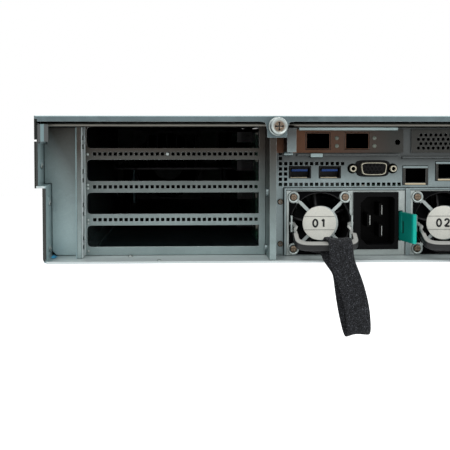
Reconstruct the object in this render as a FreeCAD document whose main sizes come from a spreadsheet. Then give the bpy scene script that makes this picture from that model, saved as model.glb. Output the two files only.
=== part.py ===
import FreeCAD, Part
import math
import os
import re

import Sketcher

# A 2U rack server seen from the rear: X runs to the right, Y runs from the rear to the front,
# Z runs up. The origin is the centre of the rack-post bolt pattern, in the plane of the posts.

SIZES = (
    ("half_wide", 224.0, "half of the chassis width above the rail step"),
    ("step_in", 4.5, "how far each side steps in below the rail step"),
    ("step_rise", 44.5, "height of the rail step above the base"),
    ("tall", 87.0, "chassis height"),
    ("deep", 760.0, "rack posts to the rear edge"),
    ("wall", 1.2, "sheet steel"),
    ("slip", 0.3, "clearance of a seat or a sliding fit"),
    ("running", 0.05, "radial clearance of a pin in its hole"),
    ("bend", 2.6, "outer bend radius at the floor's edges"),
    ("hem", 0.8, "folded hem inside the rear edges of the side walls"),
    ("hem_deep", 9.0, "depth of that hem"),
    ("dimple_radius", 3.2, "pressed dimple in a side wall"),
    ("dimple_deep", 0.6, "dimple depth"),
    ("stud_neck", 2.5, "rail stud neck radius"),
    ("stud_head", 4.5, "rail stud head radius"),
    ("stud_gap", 2.2, "rail sheet between the wall and a stud head"),
    ("stud_thick", 1.5, "rail stud head thickness"),
    ("corner_wide", 5.8, "rear corner tab width"),
    ("corner_tall", 10.2, "rear corner tab height"),
    ("support_radius", 3.0, "board supports on the floor"),
    ("cover_drop", 14.0, "height of the cover's side flanges"),
    ("cover_gap", 1.1, "gap below the cover's side flanges"),
    ("lip_drop", 3.4, "height of the cover's rear lip"),
    ("tab_drop", 12.8, "how far the cover's screw tab hangs down"),
    ("tab_wide", 11.8, "width of the screw tab"),
    ("screw_in", 4.2, "captive screw, in from the left divider's outer face"),
    ("screw_drop", 6.3, "captive screw, below the top"),
    ("head_radius", 4.9, "captive screw head"),
    ("head_long", 13.0, "captive screw head, out of the tab"),
    ("collar_radius", 5.6, "captive screw collar"),
    ("stem_radius", 2.0, "captive screw stem"),
    ("lug_thick", 4.0, "threaded lug of the captive screw"),
    ("drive_deep", 169.0, "depth of the drive section"),
    ("panel_recess", 28.0, "slot panels, in from the rear edge"),
    ("cage_edge", 21.0, "slot panel, in from the chassis side"),
    ("slot_inset", 6.6, "slot opening, in from the panel's edge"),
    ("slot_wide", 106.1, "slot opening width"),
    ("slot_tall", 13.2, "slot opening height"),
    ("slot_pitch", 20.32, "expansion slot spacing"),
    ("slot_first", 6.7, "lowest slot opening above the base"),
    ("slot_margin", 4.1, "panel beyond the square end of the slots"),
    ("slot_round", 2.2, "corner radius at the slots' outer end"),
    ("panel_top", 84.0, "top of the slot panels above the base"),
    ("vent_size", 2.1, "square vent hole"),
    ("vent_pitch", 3.22, "vent hole spacing"),
    ("vent_inset", 4.6, "first vent in from the slot's end"),
    ("post_inset", 1.3, "hook post, in from the slot panel's outer edge"),
    ("post_wide", 4.1, "hook post width"),
    ("post_out", 15.5, "hook post, out of the slot panel"),
    ("post_round", 1.0, "hook post edge"),
    ("hook_tall", 2.8, "hook notch height"),
    ("hook_low", 1.0, "lower notch, above the slot's lower edge"),
    ("hook_high", 6.35, "upper notch, above the slot's lower edge"),
    ("cage_long", 300.0, "length of the card cages"),
    ("flange", 3.9, "divider flange width"),
    ("divider_top", 80.3, "top of the dividers above the base"),
    ("beam_tall", 2.6, "cross beam height"),
    ("beam_deep", 12.0, "cross beam depth"),
    ("beam_recess", 8.0, "cross beam, in from the rear edge"),
    ("io_recess", 25.0, "port panel, in from the rear edge"),
    ("head_thick", 1.2, "screw heads on the rear sheets"),
    ("io_half", 82.2, "half of the port panel width"),
    ("io_vent_side", 77.25, "first vent column, left of the middle"),
    ("io_vent_rise", 45.2, "lowest vent row above the base"),
    ("card_rise", 65.5, "low-profile slots above the base"),
    ("card_tall", 13.2, "low-profile slot height"),
    ("card_left", 79.0, "left low-profile slot, left of the middle"),
    ("card_gap", 2.0, "slot end, left of the middle"),
    ("blank_left", 5.0, "right low-profile slot, right of the middle"),
    ("blank_right", 79.0, "its other end, right of the middle"),
    ("card_long", 140.0, "network card length"),
    ("cage_wide", 15.0, "transceiver cage width"),
    ("cage_tall", 10.4, "transceiver cage height"),
    ("cage_deep", 55.0, "transceiver cage length"),
    ("cage_first", 61.6, "first transceiver cage, left of the middle"),
    ("cage_pitch", 24.3, "transceiver cage spacing"),
    ("hex_size", 1.1, "hexagon hole radius in the blank"),
    ("hex_pitch", 3.1, "hexagon hole spacing"),
    ("hex_rise", 2.7, "hexagon row spacing"),
    ("board_thick", 1.6, "circuit board"),
    ("board_half", 79.0, "half of the motherboard's rear width"),
    ("board_spread", 205.0, "half of its front width"),
    ("board_end", 520.0, "front end of the motherboard from the rear edge"),
    ("cooler_wide", 76.0, "processor cooler width"),
    ("cooler_long", 100.0, "processor cooler length"),
    ("fin_pitch", 6.5, "cooler fin spacing"),
    ("fin_thick", 1.7, "cooler fin thickness"),
    ("usb_wide", 13.2, "USB socket width"),
    ("usb_tall", 7.1, "USB socket height"),
    ("usb_rise", 49.2, "USB sockets above the base"),
    ("usb_first", 71.7, "first USB socket, left of the middle"),
    ("usb_pitch", 18.6, "USB socket spacing"),
    ("vga_side", 19.4, "display socket centre, left of the middle"),
    ("vga_rise", 55.2, "display socket centre above the base"),
    ("jack_gap", 24.99, "display socket jackscrew spacing"),
    ("socket_proud", 0.6, "how far the sockets stand out of the port panel"),
    ("lan_wide", 15.6, "network socket width"),
    ("lan_tall", 11.6, "network socket height"),
    ("lan_side", 6.9, "first network socket, right of the middle"),
    ("lan_pitch", 20.6, "network socket spacing"),
    ("riser_long", 200.0, "riser board length"),
    ("riser_socket", 89.0, "card socket length"),
    ("psu_wide", 73.5, "power supply width"),
    ("psu_tall", 40.0, "power supply height"),
    ("psu_long", 265.0, "power supply length"),
    ("psu_pitch", 77.0, "power supply spacing"),
    ("psu_offset", 1.6, "middle of the power supplies, right of the middle"),
    ("psu_recess", 22.0, "power supply face, in from the rear edge"),
    ("psu_skin", 1.0, "power supply sheet"),
    ("plug_wide", 40.0, "power supply's edge plug"),
    ("fan_side", 21.2, "fan centre from the power supply's left edge"),
    ("fan_bore", 19.0, "fan opening radius"),
    ("fan_screws", 32.0, "fan screw spacing"),
    ("boss_radius", 2.6, "fan screw boss"),
    ("disc_radius", 10.6, "guard disc"),
    ("spoke", 2.0, "guard spoke width"),
    ("fan_deep", 28.0, "power supply fan depth"),
    ("blade_tip", 17.7, "power supply fan blade tip radius"),
    ("hub_radius", 8.6, "power supply fan hub"),
    ("axle_radius", 1.5, "fan axle"),
    ("inlet_side", 41.2, "mains inlet from the power supply's left edge"),
    ("inlet_wide", 27.9, "mains inlet frame width"),
    ("inlet_tall", 35.4, "mains inlet frame height"),
    ("inlet_lift", 1.4, "mains inlet, above the power supply's middle"),
    ("mouth_shift", 1.0, "mains inlet mouth, right of its frame's middle"),
    ("mouth_wide", 21.3, "mains inlet mouth width"),
    ("mouth_tall", 29.8, "mains inlet mouth height"),
    ("mouth_deep", 18.0, "mains inlet mouth depth"),
    ("latch_side", 70.2, "release latch from the power supply's left edge"),
    ("latch_long", 23.5, "release latch, out of the face"),
    ("latch_tall", 17.5, "release latch height"),
    ("latch_thick", 2.2, "release latch thickness"),
    ("latch_rise", 9.4, "release latch above the power supply's bottom"),
    ("latch_lean", 9.0, "release latch lean in degrees"),
    ("bail_half", 16.5, "half of the bail width at the wire"),
    ("bail_long", 27.5, "bail pivot to the grip's middle"),
    ("bail_lean", 24.0, "bail lean below level in degrees"),
    ("wire_radius", 1.0, "bail wire"),
    ("wire_bend", 1.3, "bail wire bend radius"),
    ("pivot_out", 2.4, "bail pivot, out of the face"),
    ("pivot_rise", 20.0, "bail pivot above the power supply's bottom"),
    ("grip_thick", 4.6, "bail grip thickness"),
    ("grip_wide", 5.0, "bail grip width"),
    ("strap_wide", 14.6, "strap width"),
    ("strap_thick", 4.4, "strap, both layers"),
    ("strap_long", 52.0, "strap, from the grip to its end"),
    ("strap_lean", 10.0, "strap lean to the right in degrees"),
    ("strap_side", 7.0, "strap, right of the bail's middle"),
    ("big_fan", 80.0, "chassis fan size"),
    ("big_deep", 38.0, "chassis fan depth"),
    ("big_tip", 36.8, "chassis fan blade tip radius"),
    ("big_hub", 17.5, "chassis fan hub radius"),
    ("big_pitch", 104.0, "chassis fan spacing"),
    ("fan_room", 18.0, "space between the motherboard and the chassis fans"),
    ("bay_half", 53.5, "half of the drive column width"),
    ("bay_pitch", 27.6, "drive bay spacing"),
    ("tray_wide", 103.8, "drive tray width"),
    ("tray_tall", 26.0, "drive tray height"),
    ("tray_deep", 150.0, "drive tray length"),
    ("tray_face", 9.0, "drive tray face, out of the grille"),
    ("ear_out", 17.3, "rack ear, beyond the chassis side"),
    ("ear_thick", 2.5, "rack ear"),
    ("hole_out", 8.55, "rack screw, beyond the chassis side"),
    ("hole_rise", 38.1, "rack screw, above and below the middle"),
    ("hole_radius", 3.4, "half of the rack screw slot's height"),
    ("slot_half", 4.9, "half of the rack screw slot's length"),
    ("pull_rise", 24.0, "ear handle post, above and below the middle"),
    ("pull_out", 34.0, "ear handle, out of the ear"),
    ("pull_radius", 3.4, "ear handle bar"),
)

doc = FreeCAD.newDocument("RackServer")
sheet = doc.addObject("Spreadsheet::Sheet", "Sizes")
for row, (alias, number, meaning) in enumerate(SIZES, start=1):
    sheet.set(f"A{row}", meaning)
    sheet.set(f"B{row}", str(number))
    sheet.setAlias(f"B{row}", alias)
doc.recompute()

WORDS = re.compile(r"\b(" + "|".join(alias for alias, number, meaning in SIZES) + r")\b")

# Planes and edges that many pieces share, as expressions over the sheet.
REAR = "(-deep)"
BASE = "(-tall / 2)"
INNER = "(half_wide - 2 * wall - slip)"
LOW = "(half_wide - step_in)"
FLOOR = f"({BASE} + wall)"
PANEL_EDGE = "(half_wide - cage_edge)"
PANEL_WIDE = "(slot_inset + slot_wide + slot_margin)"
DIVIDER = f"({PANEL_EDGE} - {PANEL_WIDE} - slip)"
SCREW_SIDE = f"({DIVIDER} - screw_in)"
PSU_BOTTOM = f"({FLOOR} + slip)"
PSU_FACE = f"({REAR} + psu_recess)"
BAY_TOP = f"({PSU_BOTTOM} + psu_tall + slip)"
BAY_HALF = "(psu_pitch / 2 + psu_wide / 2 + slip)"
BOARD = f"({BAY_TOP} + wall + slip)"
BOARD_TOP = f"({BOARD} + board_thick)"
LIP = f"({REAR} + wall)"
SCREW_RISE = "(tall / 2 - screw_drop)"
FANS = f"({REAR} + board_end + 2 * slip + fan_room)"
BAYS = "(3 * bay_pitch)"
HOLE_SIDE = "(half_wide + hole_out)"
BUTTON_RISE = "(tall / 2 - 16)"
MID_ARC = "0.293"  # how far the middle of a round corner lies in from its sides, in radii


def words(text):
    """The expression with each size named in full."""
    return WORDS.sub(r"Sizes.\1", text)


def value(text):
    """What the expression comes to now."""
    return float(sheet.evalExpression(words(text)))


def bind(item, **texts):
    for prop, text in texts.items():
        item.setExpression(prop, words(text))


def place(item, spot):
    """Tie the item's position to three expressions."""
    for axis, text in zip("xyz", spot):
        item.setExpression(f"Placement.Base.{axis}", words(text))
    return item


def turn(item, axis, degrees):
    """Turn the item about its own origin; degrees is an expression."""
    item.Placement = FreeCAD.Placement(FreeCAD.Vector(), FreeCAD.Rotation(FreeCAD.Vector(*axis), 0))
    item.setExpression("Placement.Rotation.Angle", words(degrees))
    return item


def block(name, corner, size):
    """A box from its lowest corner and its three lengths."""
    item = doc.addObject("Part::Box", name)
    bind(item, Length=size[0], Width=size[1], Height=size[2])
    return place(item, corner)


def span(name, x, y, z):
    """A box between two expressions along each axis."""
    return block(name, (x[0], y[0], z[0]), [f"({high}) - ({low})" for low, high in (x, y, z)])


AXES = {"X": ((0, 1, 0), "90"), "Y": ((1, 0, 0), "-90"), "Z": ((0, 0, 1), "0")}


def drum(name, foot, radius, length, axis="Z"):
    """A cylinder from the middle of its foot, along one axis."""
    item = doc.addObject("Part::Cylinder", name)
    bind(item, Radius=radius, Height=length)
    turn(item, *AXES[axis])
    return place(item, foot)


def join(name, pieces):
    item = doc.addObject("Part::MultiFuse", name)
    item.Shapes = pieces
    item.Refine = True
    return item


def group(name, pieces):
    """Separate solids that share one name."""
    item = doc.addObject("Part::Compound", name)
    item.Links = pieces
    return item


def less(name, whole, tools):
    """The whole without the tools."""
    item = doc.addObject("Part::Cut", name)
    item.Base = whole
    item.Tool = tools[0] if len(tools) == 1 else join(name + "_cuts", tools)
    item.Refine = True
    return item


def rounded(name, item, axis, radius):
    """The item with its edges along one axis rounded."""
    doc.recompute()
    along = FreeCAD.Vector(*[float(axis == letter) for letter in "XYZ"])
    result = doc.addObject("Part::Fillet", name)
    result.Base = item
    size = value(radius)
    result.Edges = [
        (number, size, size)
        for number, edge in enumerate(item.Shape.Edges, start=1)
        if abs(abs(edge.tangentAt(edge.FirstParameter) * along) - 1) < 1e-6
    ]
    return result


def mirror(name, source):
    """The same piece on the right-hand side."""
    item = doc.addObject("Part::Mirroring", name)
    item.Source = source
    item.Normal = FreeCAD.Vector(1, 0, 0)
    return item


def body(name):
    return doc.addObject("PartDesign::Body", name)


def origin_part(owner, role):
    return next(part for part in owner.Origin.OriginFeatures if part.Role == role)


def sketch(owner, plane, name, lift="0"):
    """A sketch on one of the body's own planes, lifted off it along its normal."""
    item = owner.newObject("Sketcher::SketchObject", name)
    item.AttachmentSupport = [(origin_part(owner, plane + "_Plane"), "")]
    item.MapMode = "FlatFace"
    item.setExpression("AttachmentOffset.Base.z", words(lift))
    return item


def hold(item, kind, edge, point, text):
    """Tie one coordinate of a sketch point to an expression."""
    index = item.addConstraint(Sketcher.Constraint(kind, -1, 1, edge, point, value(text)))
    item.setExpression(f"Constraints[{index}]", words(text))


def outline(item, corners):
    """A closed outline through corners given as pairs of expressions."""
    first = item.GeometryCount
    spots = [FreeCAD.Vector(value(x), value(y), 0) for x, y in corners]
    count = len(spots)
    for index in range(count):
        item.addGeometry(Part.LineSegment(spots[index], spots[(index + 1) % count]), False)
    for index in range(count):
        after = first + (index + 1) % count
        item.addConstraint(Sketcher.Constraint("Coincident", first + index, 2, after, 1))
    for index, (x, y) in enumerate(corners):
        hold(item, "DistanceX", first + index, 1, x)
        hold(item, "DistanceY", first + index, 1, y)


def rectangle(item, low, high):
    outline(item, [low, (high[0], low[1]), high, (low[0], high[1])])


def circle(item, centre, radius):
    """A circle held at its centre, with a bound radius."""
    middle = FreeCAD.Vector(value(centre[0]), value(centre[1]), 0)
    edge = item.addGeometry(Part.Circle(middle, FreeCAD.Vector(0, 0, 1), value(radius)), False)
    hold(item, "DistanceX", edge, 3, centre[0])
    hold(item, "DistanceY", edge, 3, centre[1])
    index = item.addConstraint(Sketcher.Constraint("Radius", edge, value(radius)))
    item.setExpression(f"Constraints[{index}]", words(radius))


def pad(owner, profile, name, length):
    item = owner.newObject("PartDesign::Pad", name)
    item.Profile = profile
    bind(item, Length=length)
    doc.recompute()
    return item


def pocket(owner, profile, name):
    """A cut right through, on the side where the solid is."""
    before = owner.Shape.Volume
    item = owner.newObject("PartDesign::Pocket", name)
    item.Profile = profile
    item.Type = "ThroughAll"
    item.Reversed = True
    doc.recompute()
    if item.Shape.Volume >= before:
        raise RuntimeError(f"{owner.Label}: {name} cuts nothing")
    return item


def grid(owner, feature, across, upward):
    """Copies of a feature; each direction is (axis, spacing, count)."""
    item = owner.newObject("PartDesign::LinearPattern", feature.Name + "_grid")
    item.Originals = [feature]
    item.Direction = (origin_part(owner, across[0] + "_Axis"), [""])
    item.Occurrences = across[2]
    bind(item, Length=f"{across[1]} * {across[2] - 1}")
    if upward:
        item.Direction2 = (origin_part(owner, upward[0] + "_Axis"), [""])
        item.Occurrences2 = upward[2]
        bind(item, Length2=f"{upward[1]} * {upward[2] - 1}")
    owner.Tip = item
    doc.recompute()
    return item


def half_walls(side):
    """Outline of one stepped side wall, from the top outwards and down; side is -1 or 1."""
    top = f"{BASE} + tall - cover_drop - cover_gap"
    tongue = f"{BASE} + tall - lip_drop - cover_gap"
    step = f"{BASE} + step_rise"
    points = (
        (f"{INNER} + wall", tongue),
        (f"{INNER} + wall", top),
        ("half_wide", top),
        ("half_wide", step),
        (LOW, step),
        (LOW, f"{BASE} + bend"),
        (f"{LOW} - {MID_ARC} * bend", f"{BASE} + {MID_ARC} * bend"),
        (f"{LOW} - bend", BASE),
        (f"{LOW} - bend", FLOOR),
        (f"{LOW} - wall - {MID_ARC} * (bend - wall)", f"{FLOOR} + {MID_ARC} * (bend - wall)"),
        (f"{LOW} - wall", f"{BASE} + bend"),
        (f"{LOW} - wall", f"{step} + wall"),
        ("half_wide - wall", f"{step} + wall"),
        ("half_wide - wall", f"{top} - wall"),
        (INNER, f"{top} - wall"),
        (INNER, tongue),
    )
    return [(f"{side} * ({x})", z) for x, z in points]


def chassis_base():
    """Floor and stepped side walls as one bent sheet, with hems, dimples, rail studs and rear tabs."""
    owner = body("chassis_sheet")
    profile = sketch(owner, "XZ", "chassis_section")
    left = half_walls(-1)
    right = half_walls(1)
    turning = len(left) // 2
    outline(profile, left[:turning] + right[turning - 1::-1] + right[:turning - 1:-1] + left[turning:])
    pad(owner, profile, "chassis_run", "deep - slip")
    place(owner, ("0", "-slip", "0"))
    pieces = [owner]
    for side in (-1, 1):
        for rise, reach, out in (("58", "half_wide", "18"), ("15", LOW, "14"), ("36", LOW, "14")):
            foot = f"{side} * ({reach} - wall) - ({side} + 1) / 2 * dimple_deep"
            spot = (foot, f"{REAR} + {out}", f"{BASE} + {rise}")
            pieces.append(drum("dimple", spot, "dimple_radius", "dimple_deep", "X"))
        low = f"{side} * ({INNER} - corner_wide / 2 + slip) - corner_wide / 2"
        corner = (low, REAR, f"{BASE} + tall - cover_drop - wall")
        pieces.append(block("corner_tab", corner, ("corner_wide", "wall", "corner_tall")))
        for reach, foot, head in (("half_wide", "step_rise + wall", "tall - cover_drop - cover_gap - wall"),
                                  (LOW, "bend", "step_rise + wall")):
            edge = f"{side} * ({reach} - wall - hem / 2) - hem / 2"
            corner = (edge, REAR, f"{BASE} + {foot}")
            pieces.append(block("rear_hem", corner, ("hem", "hem_deep", f"{head} - ({foot})")))
        for station in ("0.14", "0.5", "0.86"):
            spot = f"-deep * {station}"
            rise = f"{BASE} + step_rise / 2"
            neck_foot = f"{side} * {LOW} - ({1 - side}) / 2 * stud_gap"
            head_foot = f"{side} * ({LOW} + stud_gap) - ({1 - side}) / 2 * stud_thick"
            pieces.append(drum("rail_neck", (neck_foot, spot, rise), "stud_neck", "stud_gap", "X"))
            pieces.append(drum("rail_head", (head_foot, spot, rise), "stud_head", "stud_thick", "X"))
    for side in (-1, 1):
        for station in ("cage_long + 60", "board_end - 30"):
            foot = (f"{side} * (board_spread - 12)", f"{REAR} + {station}", FLOOR)
            pieces.append(drum("board_support", foot, "support_radius", f"{BOARD} - {FLOOR}"))
    return join("chassis_base", pieces)


def hat(name, rear, front):
    """Top sheet with a flange down each side, between two planes across the chassis."""
    top = "(tall / 2)"
    plate = span(name + "_plate", ("-half_wide", "half_wide"), (rear, front), (f"{top} - wall", top))
    flanges = [
        span(name + "_flange", x, (rear, front), (f"{top} - cover_drop", top))
        for x in (("-half_wide", "-half_wide + wall"), ("half_wide - wall", "half_wide"))
    ]
    return [plate] + flanges


def top_cover():
    """Sliding cover with its rear lip and the flared tab that the captive screw goes through."""
    pieces = hat("cover", REAR, "-drive_deep - slip")
    top = "(tall / 2)"
    pieces.append(span("cover_lip", ("-half_wide", "half_wide"), (REAR, LIP), (f"{top} - lip_drop", top)))
    owner = body("cover_tab")
    profile = sketch(owner, "XZ", "tab_outline")
    half = "tab_wide / 2"
    right = [(half, "-tab_drop"), (half, "-tab_drop + 4.5"), (f"{half} + 1.4", "-tab_drop + 9"),
             (f"{half} + 4.6", "-lip_drop"), (f"{half} + 4.6", "-lip_drop / 2")]
    outline(profile, right + [(f"-({x})", z) for x, z in reversed(right)])
    pad(owner, profile, "tab_sheet", "wall")
    place(owner, (f"-{SCREW_SIDE}", LIP, top))
    pieces.append(owner)
    hole = drum("tab_hole", (f"-{SCREW_SIDE}", f"{REAR} - 1", SCREW_RISE), "stem_radius + running", "5", "Y")
    return less("top_cover", join("cover_sheet", pieces), [hole])


def cover_thumbscrew():
    """Captive screw: grooved head, collar, stem and the cross recess in its end."""
    x, z = f"-{SCREW_SIDE}", SCREW_RISE
    tip = f"{REAR} - head_long - slip"
    head = drum("screw_head", (x, tip, z), "head_radius", "head_long - 3", "Y")
    neck = drum("screw_neck", (x, f"{tip} + head_long - 3", z), "head_radius - 1", "1", "Y")
    collar = drum("screw_collar", (x, f"{REAR} - 2 - slip", z), "collar_radius", "2", "Y")
    stem = drum("screw_stem", (x, f"{REAR} - 1", z), "stem_radius", "2 * wall + slip + lug_thick + 0.2", "Y")
    cross = [
        span("cross_arm", (f"{x} - {a}", f"{x} + {a}"), (f"{tip} - 1", f"{tip} + 2.4"),
             (f"{z} - {b}", f"{z} + {b}"))
        for a, b in ((2.6, 0.55), (0.55, 2.6))
    ]
    return less("cover_thumbscrew", join("screw_turned", [head, neck, collar, stem]), cross)


def cross_beam():
    """Rolled beam under the cover, from wall to wall."""
    low = f"{BASE} + divider_top + slip"
    half = f"({INNER} - slip)"
    plate = span("beam_plate", (f"-{half}", half),
                 (f"{REAR} + beam_recess + beam_tall / 2", f"{REAR} + beam_recess + beam_deep"),
                 (low, f"{low} + beam_tall"))
    foot = (f"-{half}", f"{REAR} + beam_recess + beam_tall / 2", f"{low} + beam_tall / 2")
    roll = drum("beam_roll", foot, "beam_tall / 2", f"2 * {half}", "X")
    return join("cross_beam", [plate, roll])


def slot_panel():
    """Slot panel: four openings with round outer ends, vented bars and a notched hook post."""
    owner = body("left_slot_panel")
    plate = sketch(owner, "XZ", "panel_plate")
    rectangle(plate, ("0", "wall + slip"), (PANEL_WIDE, "panel_top"))
    pad(owner, plate, "panel_sheet", "wall")
    channel = sketch(owner, "XY", "post_section", "wall + slip")
    near, far = "post_inset", "post_inset + post_wide"
    rear = "-wall - post_out"
    outline(channel, [(near, "-wall"), (near, f"{rear} + post_round"), (f"{near} + post_round", rear),
                      (f"{far} - post_round", rear), (far, f"{rear} + post_round"), (far, "-wall"),
                      (f"{far} - wall", "-wall"), (f"{far} - wall", f"{rear} + wall"),
                      (f"{near} + wall", f"{rear} + wall"), (f"{near} + wall", "-wall")])
    pad(owner, channel, "hook_post", "divider_top - wall - slip")
    mouth = sketch(owner, "XZ", "slot_mouth")
    left, right = "slot_inset", "slot_inset + slot_wide"
    low, high = "slot_first", "slot_first + slot_tall"
    bevel = f"slot_round * {MID_ARC}"
    outline(mouth, [(right, low), (right, high), (f"{left} + slot_round", high),
                    (f"{left} + {bevel}", f"{high} - {bevel}"), (left, f"{high} - slot_round"),
                    (left, f"{low} + slot_round"), (f"{left} + {bevel}", f"{low} + {bevel}"),
                    (f"{left} + slot_round", low)])
    grid(owner, pocket(owner, mouth, "slots"), ("Z", "slot_pitch", 4), None)
    vent = sketch(owner, "XZ", "vent_square")
    middle = "slot_first + (slot_pitch + slot_tall) / 2"
    start = "slot_inset + vent_inset"
    rectangle(vent, (f"{start} - vent_size / 2", f"{middle} - vent_size / 2"),
              (f"{start} + vent_size / 2", f"{middle} + vent_size / 2"))
    grid(owner, pocket(owner, vent, "vents"), ("X", "vent_pitch", 32), ("Z", "slot_pitch", 3))
    notch = sketch(owner, "YZ", "hook_notch", "post_inset + post_wide / 2")
    for rise in ("hook_low", "hook_high"):
        rectangle(notch, (f"{rear} + wall", f"{low} + {rise} - hook_tall / 2"),
                  ("-2 * wall", f"{low} + {rise} + hook_tall / 2"))
    grid(owner, pocket(owner, notch, "hooks"), ("Z", "slot_pitch", 4), None)
    return place(owner, (f"-{PANEL_EDGE}", f"{REAR} + panel_recess + wall", BASE))


def card_cage():
    """Outer cage wall with the flange that closes the gap to the stepped chassis side."""
    low, high = f"{FLOOR} + slip", f"{BASE} + divider_top"
    rear = f"{REAR} + panel_recess + wall + slip"
    side = f"-{PANEL_EDGE}"
    plate = span("cage_plate", (side, f"{side} + wall"), (rear, f"{rear} + cage_long"), (low, high))
    step = f"{BASE} + step_rise + wall + slip"
    brim = f"{BASE} + tall - cover_drop - cover_gap - wall - slip"
    lower, upper, neck = [f"-({reach} - slip)" for reach in (f"{LOW} - wall", "half_wide - wall", INNER)]
    flange = body("cage_flange")
    outer = sketch(flange, "XZ", "flange_outline")
    outline(outer, [(side, low), (side, high), (neck, high), (neck, brim), (upper, brim), (upper, step),
                    (lower, step), (lower, f"{low} + bend"), (f"{lower} + bend", low)])
    pad(flange, outer, "flange_sheet", "wall")
    place(flange, ("0", f"{rear} + wall", "0"))
    hem = span("cage_hem", (side, f"{side} + 9"), (f"{rear} + 4", f"{rear} + cage_long"),
               (low, f"{low} + wall"))
    return join("left_card_cage", [plate, flange, hem])


def divider():
    """Wall between a card cage and the middle bay, flanged at the rear edge."""
    side = f"-{DIVIDER}"
    low, high = f"{FLOOR} + slip", f"{BASE} + divider_top"
    rear = f"{REAR} + wall + slip"
    plate = span("divider_plate", (side, f"{side} + wall"), (rear, f"{rear} + cage_long + panel_recess"),
                 (low, high))
    flange = span("divider_flange", (side, f"{side} + flange"), (rear, f"{rear} + wall"),
                  (low, f"{BASE} + tall - tab_drop - slip"))
    foot = span("divider_foot", (f"{side} + wall", f"{side} + 6"),
                (f"{rear} + panel_recess", f"{rear} + cage_long"), (low, f"{low} + wall"))
    return [plate, flange, foot]


def left_divider():
    """The left divider also carries the threaded lug of the captive screw."""
    side = f"-{DIVIDER}"
    rear = f"{REAR} + wall + slip"
    lug = span("screw_lug", (side, f"-{SCREW_SIDE} + screw_in"), (rear, f"{rear} + lug_thick"),
               (f"{SCREW_RISE} - screw_in", f"{SCREW_RISE} + screw_in"))
    bore = (f"-{SCREW_SIDE}", f"{rear} - 1", SCREW_RISE)
    hole = drum("lug_hole", bore, "stem_radius + running", "lug_thick + 2", "Y")
    return less("left_divider", join("divider_sheet", divider() + [lug]), [hole])


def port_panel():
    """Port panel astride the power supplies: two low-profile slots, port cut-outs and vents."""
    owner = body("io_panel")
    plate = sketch(owner, "XZ", "port_plate")
    foot, crown = "wall + slip", f"{BAY_TOP} - {BASE} + wall + slip"
    left, right = f"psu_offset - {BAY_HALF} - wall - slip", f"psu_offset + {BAY_HALF} + wall + slip"
    outline(plate, [("-io_half", foot), (left, foot), (left, crown), (right, crown), (right, foot),
                    ("io_half", foot), ("io_half", "divider_top"), ("-io_half", "divider_top")])
    pad(owner, plate, "port_sheet", "wall")
    cuts = sketch(owner, "XZ", "port_cuts")
    low, high = "card_rise", "card_rise + card_tall"
    rectangle(cuts, ("-card_left", low), ("-card_gap", high))
    rectangle(cuts, ("blank_left", low), ("blank_right", high))
    for index in range(2):
        left = f"-usb_first + {index} * usb_pitch"
        rectangle(cuts, (f"{left} - slip", "usb_rise - slip"),
                  (f"{left} + usb_wide + slip", "usb_rise + usb_tall + slip"))
    for index in range(3):
        left = f"lan_side + {index} * lan_pitch - lan_wide / 2"
        base = f"{BOARD_TOP} - {BASE}" + (" + 2.6" if index else "")
        rectangle(cuts, (f"{left} - slip", f"{base} - slip"),
                  (f"{left} + lan_wide + slip", f"{base} + lan_tall + slip"))
    rectangle(cuts, ("-vga_side - 8.4", "vga_rise - 4.6"), ("-vga_side + 8.4", "vga_rise + 4.6"))
    for side in ("-", "+"):
        circle(cuts, (f"-vga_side {side} jack_gap / 2", "vga_rise"), "2.6")
    pocket(owner, cuts, "port_holes")
    runs = (
        ("column", 0, 0, "Z", 9),
        ("second", 1, 0, "Z", 5),
        ("upper", 2, 4, "X", 11),
        ("lower", 2, 0, "X", 22),
    )
    for name, column, level, axis, count in runs:
        vent = sketch(owner, "XZ", name + "_square")
        x = f"-io_vent_side + {column} * vent_pitch"
        z = f"io_vent_rise + {level} * vent_pitch"
        rectangle(vent, (f"{x} - vent_size / 2", f"{z} - vent_size / 2"),
                  (f"{x} + vent_size / 2", f"{z} + vent_size / 2"))
        grid(owner, pocket(owner, vent, name + "_vents"), (axis, "vent_pitch", count), None)
    return place(owner, ("0", f"{REAR} + io_recess + wall", BASE))


def card_bracket():
    """Low-profile bracket of the network card, with a window for each transceiver."""
    face = f"{REAR} + io_recess - slip - 1"
    low, high = f"{BASE} + card_rise - 0.8", f"{BASE} + card_rise + card_tall + 0.6"
    plate = span("bracket_plate", ("-card_left - 1", "-card_gap + 1"), (face, f"{face} + 1"), (low, high))
    windows = [transceiver(index, "-1", "3", "slip", "window") for index in range(2)]
    notch = drum("bracket_notch", ("-card_gap - 2.6", f"{face} - 1", f"{low} + card_tall / 2"), "1.7", "3", "Y")
    return less("card_bracket", plate, windows + [notch])


def transceiver(index, start, long, grow, name):
    """Box of one transceiver cage, grown all round by a clearance."""
    left = f"-cage_first + {index} * cage_pitch"
    rise = f"{BASE} + card_rise + 1.4"
    rear = f"{REAR} + io_recess - slip - 1 + ({start})"
    return block(name, (f"{left} - {grow}", rear, f"{rise} - {grow}"),
                 (f"cage_wide + 2 * {grow}", long, f"cage_tall + 2 * {grow}"))


def sfp_cages():
    """Two open-mouthed sheet cages."""
    cages = []
    for index in range(2):
        shell = transceiver(index, "0", "cage_deep", "0", "cage_shell")
        mouth = transceiver(index, "-1", "cage_deep - 2", "-0.5", "cage_mouth")
        cages.append(less(f"cage_{index + 1}", shell, [mouth]))
    return group("sfp_cages", cages)


def card_board():
    """Network card, under its cages, with its edge toward the riser."""
    low = f"{BASE} + card_rise + 1.4 - slip - board_thick"
    rear = f"{REAR} + io_recess + wall + slip"
    return block("card_board", ("-card_left + 2", rear, low),
                 ("card_left - card_gap - 4", "card_long", "board_thick"))


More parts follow.
